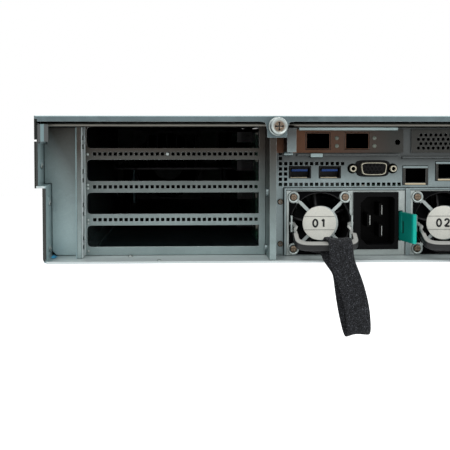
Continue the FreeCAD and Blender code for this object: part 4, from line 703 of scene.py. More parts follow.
class SERVER_OT_sheet_finishes(bpy.types.Operator):
    """Galvanised sheet of the chassis, panels, cover, brackets and power supplies."""

    bl_idname = "server.sheet_finishes"
    bl_label = "Sheet metal"

    def execute(self, context):
        self.chassis()
        self.panels()
        self.cover()
        self.supplies()
        self.brackets()
        return {"FINISHED"}

    @staticmethod
    def chassis():
        """Walls and floor: painted light inside the rear edge, dark where the sheet is cut, painted
        highlights on the lip and the step, painted shade on the tab with a lighter middle strip, and black
        painted shade on the standoff that shows through the slots."""
        lit = (OUT, 726, 744)
        paint = both_sides([
            # Painted light on the walls and floor inside the rear edge, fading out towards the front.
            ((-218.6, REAR - 1, FLOOR - 0.1), (0, -726, 2.1), "lit", lit),
            ((-223.2, REAR - 1, 2.1), (0, -726, 38), "lit", lit),
            ((-224.1, REAR - 0.6, 1.0), (-221.9, REAR + 0.3, 39.1), "cut"),
            ((-219.6, REAR - 0.6, -42.1), (-217.3, REAR + 0.3, 1.0), "cut"),
            # A painted highlight on the step; painted shade on the tab, with a lighter middle strip across
            # it.
            ((-223.0, REAR - 0.6, 1.0), (-218.3, REAR + 3, 2.3), "lip"),
            ((-221.9, REAR - 0.6, 27.0), (-215.6, REAR + 2, 39.1), "shadow"),
            ((-220.4, REAR - 0.6, 28.4), (-218.3, REAR + 1, 39.1), "wall"),
            # A painted highlight along the floor's rear edge, and painted light on the floor behind it.
            ((-217.5, REAR - 0.6, FLOOR - 1.3), (0, REAR + 3, FLOOR + 0.15), "lip"),
            ((-214.8, REAR + 3, FLOOR - 0.1), (0, PANEL + 1, FLOOR + 0.1), "lip"),
            # Painted shade: the standoff that shows through the slots is painted black.
            ((-200, -409, -42), (-186, -396, 1), "void"),
        ])
        matt = [((-223.2, REAR - 1, FLOOR - 0.1), (223.2, PANEL, 38)),
                ((-218, REAR - 1, FLOOR - 1.3), (218, REAR + 3, FLOOR + 0.2))]
        dress(sheet_metal("chassis_zinc", "wall", patches=paint, matt=matt), "chassis_base")

    @staticmethod
    def panels():
        """Slot panels with painted highlights on the edges of their posts, dividers, cage walls, port panel
        and beam, with painted reflection and shade on them.
        """
        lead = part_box("left_slot_panel")[0].y / MM
        # Painted highlights: a light strip on the side of each post and a lighter front edge.
        posts = both_sides([
            ((-198.2, lead + 0.5, -42), (-197.3, PANEL + 0.1, 37), "lip"),
            ((-202.0, lead - 0.5, -42), (-200.95, lead + 2.3, 37), "glow"),
        ])
        matt = [post[:2] for post in posts]
        # The panels and dividers darken high up, a painted reflection of a dark room.
        dress(sheet_metal("panel_zinc", "panel", fades=[(UP, -40, 24, "dusk")], patches=posts, matt=matt),
              "left_slot_panel", "right_slot_panel", "left_divider", "right_divider")
        for side, slope in zip(SIDES, (-0.85, 0.85)):
            # Painted reflection darkens the cage walls high up, and painted light brightens their outer
            # corners.
            fades = [(UP, -44, 40, "dusk"), ((slope, 0.0, -0.5), 168, 206, "glow")]
            dress(sheet_metal(f"{side}_cage_zinc", "panel", fades=fades), f"{side}_card_cage")
        dress(sheet_metal("port_zinc", "port", fades=[(UP, 3, 17.5, "shadow")]), "io_panel", "psu_bay")
        # Painted shade darkens the top of the beam, under the cover.
        dress(sheet_metal("beam_zinc", "beam", fades=[(UP, 38.4, 39.6, "cut")]), "cross_beam")
        # Painted shade: the fan bracket inside is painted in the dark cut-edge colour.
        dress(sheet_metal("inner_zinc_in_shade", "cut", wear=0.1), "fan_bracket")

    @staticmethod
    def cover():
        """Cover with the dark ends of its side flanges and a painted highlight along the corner of its rear
        lip, front deck and trays."""
        ends = both_sides([
            ((-224.2, REAR - 0.6, 29), (-222.2, REAR + 0.6, 41.6), "cut"),
            # A painted highlight along the top corner of the rear lip.
            ((-223.4, REAR - 0.6, 43.1), (0, REAR + 0.8, 43.8), "glow"),
        ])
        dress(sheet_metal("cover_zinc", "cover", patches=ends), "top_cover")
        dress(sheet_metal("front_zinc", "cover"), "drive_cage", *[f"drive_tray_{k}" for k in (1, 2, 3)])

    @staticmethod
    def supplies():
        """Cases of the power supplies, black in the corners round each fan."""
        for side in SIDES:
            case = sheet_metal(f"supply_sheet_{side}", "unit", crystals=420.0, contrast=0.08,
                               guard=tuple(fan_centre(side)))
            dress(case, f"psu_{side}_case")

    @staticmethod
    def brackets():
        """Card bracket, blank, latch and screw plates, and the coolers inside; painted shade darkens the
        latch's top and the coolers, which are black on their rear faces.
        """
        dress(sheet_metal("latch_zinc", "port", fades=[(UP, 20, 33, "shadow")]), "slot_latch")
        dress(sheet_metal("bracket_steel", "bronze", crystals=500.0, contrast=0.05, wear=0.3,
                          fades=[(RIGHT, -60, -8, "smoke")]), "card_bracket")
        dress(sheet_metal("blank_steel", "smoke", crystals=500.0, contrast=0.05, wear=0.5), "slot_cover")
        dress(sheet_metal("screw_plate", "port", crystals=900.0, contrast=0.04), "panel_screws")
        # Painted shade: the coolers take the dark shadow colour, and their rear faces are painted black.
        dress(sheet_metal("cooler_aluminium", "shadow", crystals=700.0, contrast=0.05, wear=0.1,
                          patches=[shaded_rear_end(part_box("cpu_heatsinks")[0].y / MM)]), "cpu_heatsinks")


class SERVER_OT_socket_finishes(bpy.types.Operator):
    """Sockets: worn rims, insides painted black as shade, blue tongues and light lower lips."""

    bl_idname = "server.socket_finishes"
    bl_label = "Sockets"

    def execute(self, context):
        # Painted shade: all that lies deeper than the port panel is painted black.
        rows = [((-300, PORTS - 0.2, 0), (300, -700, 40), "void")]
        for left, low in ((-0.9, 1.4), (19.7, 4.0), (40.3, 4.0)):
            rows.append(((left - 0.2, PORTS - 0.8, low + 10.4), (left + 15.8, PORTS, low + 11.9), "port"))
            rows.append(((left + 1.3, PORTS - 0.8, low), (left + 14.1, PORTS + 1.5, low + 1.0), "beige"))
        dress(sheet_metal("socket_metal", "smoke", crystals=900.0, contrast=0.04, wear=0.4, patches=rows),
              "lan_ports")
        # Painted shade: the insides of the USB sockets are painted black.
        rows = [((-300, PORTS - 1, 0), (300, -700, 40), "void")]
        for left in (-71.7, -53.1):
            rows.append(((left + 1.0, PORTS + 0.5, 9.2), (left + 11.8, -720, 11.0), "tongue"))
            rows.append(((left + 0.7, PORTS - 0.8, 5.6), (left + 10.9, PORTS + 2, 6.35), "beige"))
        dress(plastic("usb_black", "void", patches=rows), "usb_ports")
        # Painted shade: the backs of the transceiver cages are painted black.
        back = [((-300, PORTS - 0.6, 20), (0, -640, 40), "void")]
        dress(sheet_metal("cage_steel", "bronze", wear=0.3, patches=back), "sfp_cages")
        return {"FINISHED"}


class SERVER_OT_plastic_finishes(bpy.types.Operator):
    """Moulded plastic: fans, inlets, latches and the front."""

    bl_idname = "server.plastic_finishes"
    bl_label = "Plastics"

    def execute(self, context):
        fans = [f"psu_{side}_{part}" for side in SIDES for part in ("fan_frame", "rotor")]
        fans += [f"fan_rotor_{k}" for k in (1, 2, 3, 4)]
        levers = [f"tray_lever_{k}" for k in (1, 2, 3)]
        dress(plastic("black_plastic", "black"), "fan_housings", "front_grille", "left_ear", "right_ear",
              "power_button", *fans, *levers)
        for side in SIDES:
            self.inlet(side)
        self.latches()
        return {"FINISHED"}

    @staticmethod
    def inlet(side):
        """A mains inlet: black painted shade down its well, with narrow painted glints on the ends of three
        blades.
        """
        low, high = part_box(f"psu_{side}_inlet")
        x, z = (low.x + high.x) / 2 / MM, (low.z + high.z) / 2 / MM
        # Painted shade fills the well; the narrow strips in the blades' colour are painted glints.
        well = ((x - 9.6, -736.6, z - 14.8), (x + 11.6, -700, z + 14.8), "void")
        blades = [((x + a - 0.35, -736.4, z + b - 2.9), (x + a + 0.1, -735.0, z + b + 2.9), "nickel")
                  for a, b in ((-2.8, 0.0), (4.6, 6.5), (4.6, -6.5))]
        dress(plastic(f"inlet_plastic_{side}", "deep", edge=(0.06, 0.06, 0.06, 1), patches=[well, *blades],
                      gloss=0.06), f"psu_{side}_inlet")

    @staticmethod
    def latches():
        """Green latches, with painted light on the outer end and a slit painted dark as shade across the
        flat side.
        """
        slits = []
        for side in SIDES:
            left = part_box(f"psu_{side}_latch")[0].x / MM
            # A slit of painted shade.
            slits.append(((left - 1.25, -746.2, -27.8), (left + 5.75, -743.0, -20.4), "void"))
        # The outer end is made lighter: painted light.
        dress(plastic("green_plastic", "green", edge=(0.0, 0.42, 0.34, 1), wear=0.5, patches=slits,
                      fades=[(OUT, 757.6, 760.4, "green_lit")]), *[f"psu_{side}_latch" for side in SIDES])


class SERVER_OT_board_finishes(bpy.types.Operator):
    """Circuit boards, with painted shade on their edges deep inside, and memory modules painted black as
    shade.
    """

    bl_idname = "server.board_finishes"
    bl_label = "Circuit boards"

    def execute(self, context):
        # Painted shade: the board edges that face the rear deep inside are painted black.
        edges = [shaded_rear_end(y) for y in (-420, -642)]
        dress(circuit_board("board_green", edges), "motherboard", "riser_boards", "card_board",
              "power_board", "drive_backplane")
        # Painted shade: the memory modules are painted black.
        dress(plastic("module_in_painted_shade", "deep", edge=(0.03, 0.03, 0.03, 1), gloss=0.06), "memory_modules")
        return {"FINISHED"}


class SERVER_OT_straps(bpy.types.Operator):
    """One hook-and-loop strap round each grip, hanging as two layers."""

    bl_idname = "server.straps"
    bl_label = "Straps"

    def execute(self, context):
        sizes = context.scene.server_sizes
        cloth = strap_cloth("strap_cloth")
        for side in SIDES:
            low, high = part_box(f"psu_{side}_grip")
            made, length = self.ribbon(f"strap_{side}", low, high, sizes, cloth)
            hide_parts(f"psu_{side}_strap")
            settle(f"psu_{side}_tie", "black_fabric", made)
        return {"FINISHED"}

    @staticmethod
    def ribbon(name, low, high, sizes, cloth):
        """Carries a flat profile with rounded edges, one layer thick, along a loop: over the grip's bar,
        down in front, round a fold at the bottom and up behind, where it is ribbed. Its width stays as near
        to X as the path lets it. The path's points are in mm from the bar."""
        steps, around, corner, ribbed = 520, 28, 0.35, 0.3
        middle = (low.x + high.x) / 2
        bar_y, bar_z = low.y + 0.0032, low.z + 0.0031
        front = [(7.2, -3.9, 1.5), (7.4, -5.6, -3.0), (8.4, -6.4, -9.5), (12.6, -6.6, -20.8),
                 (16.6, -6.2, -35.5), (17.8, -5.4, -45.0), (17.7, -4.4, -50.4)]
        back = [(16.8, -2.4, -50.6), (15.0, -1.4, -45.0), (13.0, -0.9, -35.5), (10.9, -0.7, -21.5),
                (9.5, 0.0, -14.0), (6.2, 1.2, -8.5), (3.4, 2.6, -3.5), (3.9, 3.6, 0.7)]
        top = [(5.0, 1.6, 4.1), (6.6, -1.6, 3.9)]
        path = np.array(top + front + back + top[:1]) * MM
        line = smooth_line(path, steps + 1)[:-1]
        line += np.array([middle, bar_y, bar_z])
        length = float(np.linalg.norm(np.diff(np.vstack([line, line[:1]]), axis=0), axis=1).sum())
        ahead = np.roll(line, -1, 0) - np.roll(line, 1, 0)
        ahead /= np.linalg.norm(ahead, axis=1)[:, None]
        across = np.array([1.0, 0.0, 0.0]) - ahead * ahead[:, :1]
        across /= np.linalg.norm(across, axis=1)[:, None]
        out = np.cross(across, ahead)
        turn = np.linspace(0, 2 * math.pi, around, endpoint=False)
        wide = np.sign(np.cos(turn)) * np.abs(np.cos(turn)) ** corner * sizes.strap_wide / 2
        share = np.linspace(0, 1, steps)
        behind = np.clip((share - 0.5) * 12, 0, 1) * np.clip((0.93 - share) * 12, 0, 1)
        ribs = 1 + ribbed * behind * np.sin(2 * math.pi * share * length / sizes.rib_pitch)
        thin = np.sin(turn)[None, :] * ribs[:, None] * sizes.strap_thick / 2
        points = line[:, None] + across[:, None] * wide[None, :, None] + out[:, None] * thin[:, :, None]
        faces = grid_faces(steps, around, True, True)
        return build_mesh(name, points.reshape(-1, 3), [faces], cloth), length


class SERVER_OT_labels(bpy.types.Operator):
    """A pale disc on each fan guard, with the number of its bay between two rules."""

    bl_idname = "server.labels"
    bl_label = "Fan labels"

    def execute(self, context):
        paper = plastic("label_paper", "label", grain=1800.0, wear=0.1, edge=(0.5, 0.5, 0.47, 1),
                        bump=0.00001)
        ink = plastic("label_ink", "ink", wear=0.0, bump=0.00001)
        rings = [(0.0104, -0.0003), (0.0104, 0.0001), (0.0102, 0.00014), (0.0075, 0.0002), (0.004, 0.00024)]
        rules = [[(-9.3, rise), (9.3, rise)] for rise in (4.1, -4.1)]
        proud = 0.00082
        for side, digit in zip(SIDES, (self.one(), self.two())):
            centre = fan_centre(side) - np.array([0.0, proud, 0.0])
            disc = pressed_round(f"label_{side}", [centre], rings, paper, spokes=48)
            lines, widths = [self.nought(), digit, *rules], (1.15, 1.15, 0.22, 0.22)
            figures = self.strokes(f"number_{side}", centre, lines, widths, ink)
            settle(f"psu_{side}", "black_plastic", disc, figures)
        return {"FINISHED"}

    @staticmethod
    def nought():
        """An upright oval, x = -2.6 + 1.35 cos t, z = 2.2 sin t."""
        turn = np.linspace(0, 2 * math.pi, 25)
        return np.stack([-2.6 + 1.35 * np.cos(turn), 2.2 * np.sin(turn)], -1)

    @staticmethod
    def one():
        """An upright with a short flag."""
        return [(1.4, 1.4), (2.6, 2.3), (2.6, 2.2), (2.6, -2.3)]

    @staticmethod
    def two():
        """A smooth curve down to a flat foot."""
        curve = [(1.0, 1.2), (1.7, 2.1), (2.7, 2.2), (3.6, 1.4), (3.3, 0.2), (2.2, -1.1), (1.1, -2.1)]
        return np.vstack([smooth_line(curve, 20), [(1.2, -2.15), (4.1, -2.15)]])

    @staticmethod
    def strokes(name, centre, lines, widths, material, above=0.00034):
        """Flat ribbons along plane paths, above the disc's face: left and right edges at half the width from
        each path."""
        points, faces = [], []
        for line, wide in zip(lines, widths):
            line = np.asarray(line, float)
            ahead = heading(line)
            aside = np.stack([-ahead[:, 1], ahead[:, 0]], -1) * wide / 2
            flat = np.stack([line + aside, line - aside], 1).reshape(-1, 2) * MM
            faces.append(grid_faces(len(line), 2) + sum(len(part) for part in points))
            points.append(np.stack([flat[:, 0], np.full(len(flat), -above), flat[:, 1]], -1) + centre)
        return build_mesh(name, np.vstack(points), faces, material, smooth=False)


class SERVER_OT_screws(bpy.types.Operator):
    """Cross-recessed screws in the fan guards, on the port panel and in the cover's tab."""

    bl_idname = "server.screws"
    bl_label = "Screws"

    def execute(self, context):
        self.guards()
        self.panel()
        self.captive()
        return {"FINISHED"}

    @staticmethod
    def steel(name, recess):
        """Dark plated steel, with painted shade black in the cross, between two depths."""
        return sheet_metal(name, "screw", crystals=2000.0, contrast=0.1, wear=1.0,
                           fades=[(IN, *recess, "void")])

    @classmethod
    def guards(cls):
        """Four screws in raised collars round each fan."""
        metal = cls.steel("screw_steel", (-739.35, -739.15))
        zinc = sheet_metal("collar_zinc", "unit", crystals=900.0, contrast=0.08, wear=1.0)
        head = [(0.00225, 0.0), (0.00215, 0.0004), (0.0018, 0.0007), (0.0013, 0.00085), (0.00125, 0.00086),
                (0.0005, 0.0009)]
        collar = [(0.0036, -0.0007), (0.00355, 0.0001), (0.0033, 0.00035), (0.0029, 0.00035),
                  (0.0026, 0.00005)]
        for side in SIDES:
            spots = [fan_centre(side) + np.array([SCREW_REACH * a, -0.0008, SCREW_REACH * b])
                     for a in (-1, 1) for b in (-1, 1)]
            made = pressed_round(f"guard_screws_{side}", spots, head, metal, cross=0.0005)
            settle(f"psu_{side}", "turned_steel", made)
            made = pressed_round(f"guard_collars_{side}", spots, collar, zinc, spokes=28)
            settle(f"psu_{side}", "psu_steel", made)

    @classmethod
    def panel(cls):
        """Crosses of the two screws beside the left supply."""
        spots = [(-0.07725, -0.7362, z) for z in (-0.0351, -0.009)]
        rings = [(0.0018, -0.0003), (0.0017, 0.0001), (0.0012, 0.0003), (0.00115, 0.00031),
                 (0.0004, 0.00035)]
        metal = cls.steel("small_screw_steel", (-736.42, -736.3))
        made = pressed_round("panel_crosses", spots, rings, metal, cross=0.00045)
        settle("chassis", "turned_steel", made)

    @staticmethod
    def captive():
        """The captive screw of the cover: its profile (radius, y) turned about Y, with a knurl of 36 waves
        on the rim and a cross pressed into the face. All in mm from the head's face."""
        low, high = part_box("cover_thumbscrew")
        axis = np.array([(low.x + high.x) / 2, low.y, (low.z + high.z) / 2])
        face, foot = low.y / MM, (high.y - low.y) / MM
        # Painted shade blackens the deep part of the cross; deeper still, the head takes the supply sheet's
        # colour.
        fades = [(IN, face + 1.0, face + 1.3, "void"), (IN, face + 1.7, face + 2.1, "unit")]
        steel = sheet_metal("captive_steel", "screw", crystals=1500.0, contrast=0.05, wear=1.0, fades=fades,
                            rings=[(tuple(axis / MM), 2.6, 3.9, "unit")])
        shank = [(1.6, foot), (1.6, foot - 6.0), (2.5, foot - 6.2)]
        head = [(5.5, 10.5), (5.6, 9.8), (5.6, 8.8), (5.3, 8.4), (4.4, 8.2), (4.4, 6.8), (4.9, 6.4),
                (5.0, 5.8), (5.0, 0.9), (4.8, 0.3), (4.5, 0.0), (4.1, 0.0), (3.8, 0.45), (3.0, 0.4),
                (2.0, 0.35), (1.2, 0.3), (1.1, 0.3), (0.3, 0.3)]
        waves, knurl, spokes, cross, arm_wide, arm_long = 36, 0.1, 144, 1.4, 7, 2.1
        turn = np.linspace(0, 2 * math.pi, spokes, endpoint=False)
        radius, depth = [np.repeat(column[:, None], spokes, 1) for column in np.array(shank + head).T]
        rim = (radius > 4.85) & (depth < 6.0) & (depth > 0.6)
        radius = radius + knurl * np.cos(waves * turn) * rim
        quarter = np.arange(spokes) % (spokes // 4)
        arm = np.minimum(quarter, spokes // 4 - quarter) < arm_wide
        depth = depth + cross * ((arm & (radius < arm_long)) | (radius < 1.0))
        points = np.stack([radius * np.cos(turn), depth, radius * np.sin(turn)], -1).reshape(-1, 3)
        points = np.vstack([points, [[0.0, 1.8, 0.0]]]) * MM + axis
        faces = [grid_faces(len(shank + head), spokes, False, True),
                 pole_fan(len(points) - 1 - spokes, spokes, len(points) - 1)]
        made = build_mesh("captive_screw", points, faces, steel)
        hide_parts("cover_thumbscrew")
        settle("cover_screw", "turned_steel", made)


class SERVER_OT_small_domes(bpy.types.Operator):
    """Weld dots, the rivet in the top bar, stamped marks, the lenses beside the transceiver cages and the
    dab of paint."""

    bl_idname = "server.small_domes"
    bl_label = "Dots and lenses"

    def execute(self, context):
        # Painted highlight: the dots, stamps and crescents are in the supply sheet's colour, lighter than
        # the sheet round them.
        zinc = sheet_metal("dot_zinc_highlight", "unit", crystals=900.0, contrast=0.05)
        dots = [(-195.9, -732.2, z, 0.9) for z in (20.4, 1.6, -0.6, -20.3, -22.2, -39.6)]
        dots.append((-146.9, -732.2, 20.6, 1.15))
        floor = [(-169.5, -737.0, -42.05, 1.7), (-151.5, -757.6, -42.05, 1.3)]
        curls = [(-217.5, -743.5, z, 2.3) for z in (-8.0, -35.6)] + [(-222.0, -743.5, 14.5, 2.3)]
        for side, flip in zip(SIDES, (1, -1)):
            rows = [np.array(spots) * MM * np.array([flip, 1, 1, 1]) for spots in (dots, floor, curls)]
            settle("chassis", "zinc_steel", self.domes(f"weld_dots_{side}", rows[0], zinc),
                   self.domes(f"floor_stamps_{side}", rows[1], zinc, upward=True),
                   self.curls(f"wall_stamp_highlights_{side}", rows[2], flip, zinc))
        lens = plastic("lamp_lens", "lamp", grain=900.0, wear=0.4, edge=(0.4, 0.42, 0.38, 1))
        spots = [(x * MM, -0.7364, z * MM, 0.0013) for x in (-42.5, -19.1) for z in (30.4, 25.5)]
        settle("chassis", "socket_metal", self.domes("link_lenses", spots, lens))
        settle("chassis", "zinc_steel", self.flake("corner_mark"))
        return {"FINISHED"}

    @staticmethod
    def domes(name, spots, material, upward=False):
        """Caps whose height is 0.55 of the radius times the cosine of the turn from the pole, one for each
        (x, y, z, radius), facing the rear or up."""
        rows, spokes, rise = 5, 14, 0.55
        down, turn = np.meshgrid(np.linspace(math.pi / 2, 0.35, rows),
                                 np.linspace(0, 2 * math.pi, spokes, endpoint=False), indexing="ij")
        cap = np.stack([np.sin(down) * np.cos(turn), -rise * np.cos(down), np.sin(down) * np.sin(turn)], -1)
        cap = np.vstack([cap.reshape(-1, 3), [[0.0, -rise, 0.0]]])
        if upward:
            cap = np.stack([cap[:, 0], cap[:, 2], -cap[:, 1]], -1)
        faces = [grid_faces(rows, spokes, False, True), pole_fan((rows - 1) * spokes, spokes, rows * spokes)]
        return build_mesh(name, *copied(cap, faces, spots), material)

    @staticmethod
    def curls(name, spots, flip, material):
        """Light crescents on the inner face of a wall, a painted highlight on its stamped dimples: a bead
        along an arc of 250 degrees about X, whose thickness is the sine of the way along it."""
        steps, sides, thick = 22, 8, 0.24
        way, turn = np.meshgrid(np.linspace(0.03, 0.97, steps),
                                np.linspace(0, 2 * math.pi, sides, endpoint=False), indexing="ij")
        arc = np.radians(-215 + 250 * way)
        bead = thick * np.sin(math.pi * way)
        out = 1.0 + bead * np.cos(turn)
        shape = np.stack([flip * bead * np.sin(turn), out * np.cos(arc), out * np.sin(arc)], -1)
        faces = [grid_faces(steps, sides, False, True)[:, ::-flip]]
        return build_mesh(name, *copied(shape.reshape(-1, 3), faces, spots), material)

    @staticmethod
    def flake(name):
        """A thin painted patch that follows the bend between floor and wall: z is the bend's centre less the
        root of its radius squared less the distance squared, and lies just above the sheet."""
        paint = plastic("mark_paint", "mark", grain=1500.0, wear=0.2, edge=(0.1, 0.6, 0.8, 1), bump=0.00002)
        bend_x, bend_z, radius, above = -214.9, -39.4, 2.6, 0.08
        columns, rows = 12, 8
        x, y = np.meshgrid(np.linspace(-216.7, -214.3, columns), np.linspace(-746.0, -735.0, rows))
        reach = np.clip(bend_x - x, 0, radius - 0.1)
        z = bend_z - np.sqrt(radius ** 2 - reach ** 2) + above
        points = np.stack([x, y, z], -1).reshape(-1, 3) * MM
        return build_mesh(name, points, [grid_faces(rows, columns)], paint)


class SERVER_OT_handles(bpy.types.Operator):
    """Wire bails with their kinks, and the moulded grips on them."""

    bl_idname = "server.handles"
    bl_label = "Handles"

    def execute(self, context):
        lean, hinge = math.radians(24.0), np.array([0.0, -0.7404, -0.022])
        out = np.array([0.0, -math.cos(lean), -math.sin(lean)])
        over = np.array([0.0, -math.sin(lean), math.cos(lean)])
        level = float(hinge @ over) / MM
        everywhere = ((-300, -800, -80), (300, -700, 0))
        steel = sheet_metal("bail_steel", "nickel", crystals=1500.0, contrast=0.05, wear=0.3,
                            matt=[everywhere], least=0.6)
        light_top = (tuple(over), level + 1.95, level + 2.2, "grip_top")
        moulded = plastic("grip_plastic", "black", fades=[light_top])
        wire = [(-19.6, 0, 0), (-18.2, 0, 0), (-17.0, 0.7, 0), (-16.9, 3.0, 0.2), (-16.1, 5.4, 0.6),
                (-17.2, 8.2, 0.1), (-16.9, 11.0, -0.2), (-17.6, 14.5, 0), (-17.6, 20.0, 0), (-17.4, 24.5, 0),
                (-15.0, 27.3, 0), (-10.0, 27.6, 0), (0, 27.6, 0)]
        grip = [(-17.6, 14.6, 0), (-17.6, 17.0, 0), (-17.55, 20.5, 0), (-17.0, 23.9, 0), (-14.6, 26.6, 0),
                (-11.0, 27.5, 0), (-5.0, 27.6, 0), (0, 27.6, 0)]
        for side in SIDES:
            low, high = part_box(f"psu_{side}_bail")
            basis = (hinge + np.array([(low.x + high.x) / 2, 0.0, 0.0]), out, over)
            bail = self.tube(f"bail_{side}", self.mirrored(wire), basis, 300, steel, self.round_wire)
            cover = self.tube(f"grip_{side}", self.mirrored(grip), basis, 140, moulded, self.moulding)
            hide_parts(f"psu_{side}_bail")
            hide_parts(f"psu_{side}_grip")
            settle(f"psu_{side}_handle", "bright_wire", bail)
            settle(f"psu_{side}_handle", "black_plastic", cover)
        return {"FINISHED"}

    @staticmethod
    def mirrored(half):
        """A path and its mirror image, joined at its last point."""
        half = np.array(half, float)
        return np.vstack([half, half[-2::-1] * np.array([-1.0, 1.0, 1.0])])

    @staticmethod
    def round_wire(share):
        """Half width, half thickness and corner power of the wire along its path."""
        return np.full_like(share, 0.95), np.full_like(share, 0.95), 1.0

    @staticmethod
    def moulding(share):
        """The same of the grip: narrow arms, a wide bar and closed, rounded ends."""
        ends = np.sqrt(np.clip(np.minimum(share, 1 - share) / 0.03, 0.02, 1))
        bar = np.clip((0.5 - np.abs(share - 0.5) - 0.14) / 0.1, 0, 1)
        return (1.55 + 0.9 * bar * bar * (3 - 2 * bar)) * ends, 2.3 * ends, 0.4

    @staticmethod
    def tube(name, path, basis, count, material, section, sides=20):
        """Carries a superellipse (half width, half thickness, power) along a path given as (aside, out,
        over), closed by a pole at each end."""
        centre, out, over = basis
        line = smooth_line(path * MM, count)
        ahead = heading(line)
        aside = np.cross(ahead, np.array([0.0, 0.0, 1.0]))
        aside /= np.linalg.norm(aside, axis=1)[:, None]
        lift = np.cross(aside, ahead)
        wide, thick, power = section(np.linspace(0, 1, count))
        turn = np.linspace(0, 2 * math.pi, sides, endpoint=False)
        flat = [np.sign(f) * np.abs(f) ** power for f in (np.cos(turn), np.sin(turn))]
        local = (line[:, None] + aside[:, None] * (wide[:, None] * flat[0] * MM)[:, :, None]
                 + lift[:, None] * (thick[:, None] * flat[1] * MM)[:, :, None])
        local = np.vstack([local.reshape(-1, 3), line[:1], line[-1:]])
        points = local @ np.stack([RIGHT, out, over]) + centre
        first = pole_fan(0, sides, len(points) - 2)[:, [1, 0, 2]]
        last = pole_fan((count - 1) * sides, sides, len(points) - 1)
        return build_mesh(name, points, [grid_faces(count, sides, False, True), first, last], material)


class SERVER_OT_bracket_trim(bpy.types.Operator):
    """Folded strips round the expansion brackets, the ledges in painted shade, and the bright clip under
    them.
    """

    bl_idname = "server.bracket_trim"
    bl_label = "Bracket trim"

    def execute(self, context):
        grey = sheet_metal("trim_zinc", "panel", wear=0.8)
        # Painted shade: the ledges take the dark shadow colour.
        dark = sheet_metal("trim_in_shade", "shadow", wear=0.8)
        roll = [(-736.2, 34.9), (-736.7, 35.6), (-737.2, 36.6), (-738.3, 37.5)]
        ledge = [(-735.2, 19.2), (-737.6, 19.3), (-738.2, 19.6), (-738.3, 20.4)]
        hook = [(-735.2, 18.2), (-738.6, 18.3), (-739.3, 18.8), (-739.4, 20.9)]
        lower = [(y, z - 1.6) for y, z in ledge]
        strips = [("bracket_roll", (-66.0, -4.5), roll, grey), ("bracket_ledge", (-67.4, -3.5), ledge, dark),
                  ("bracket_clip", (-59.3, -51.4), hook, grey), ("blank_ledge", (-2.0, 78.0), lower, dark)]
        for name, across, profile, material in strips:
            settle("chassis", "bracket_steel", self.strip(name, across, profile, material))
        return {"FINISHED"}

    @staticmethod
    def strip(name, across, profile, material, thick=0.7):
        """A thin sheet: a closed profile, the smoothed line and its offset, carried along X, a little
        smaller towards its two ends and closed there."""
        line = smooth_line(profile, 10)
        ahead = heading(line)
        aside = np.stack([ahead[:, 1], -ahead[:, 0]], -1)
        loop = np.vstack([line, (line + aside * thick)[::-1]])
        left, right = across
        places = np.array([left, left + 0.25, *np.linspace(left + 0.5, right - 0.5, 5), right - 0.25, right])
        shrink = np.array([0.75, 0.95, 1, 1, 1, 1, 1, 0.95, 0.75])[:, None, None]
        rows = loop.mean(0) + (loop - loop.mean(0)) * shrink
        x = np.broadcast_to(places[:, None, None], (len(places), len(loop), 1))
        points = np.concatenate([x, rows], -1).reshape(-1, 3) * MM
        half = len(line)
        step = np.arange(half - 1)
        first = np.stack([step, step + 1, 2 * half - 2 - step, 2 * half - 1 - step], -1)
        last = first + (len(places) - 1) * len(loop)
        faces = [grid_faces(len(places), len(loop), False, True), first[:, ::-1], last]
        return build_mesh(name, points, faces, material, smooth=False)


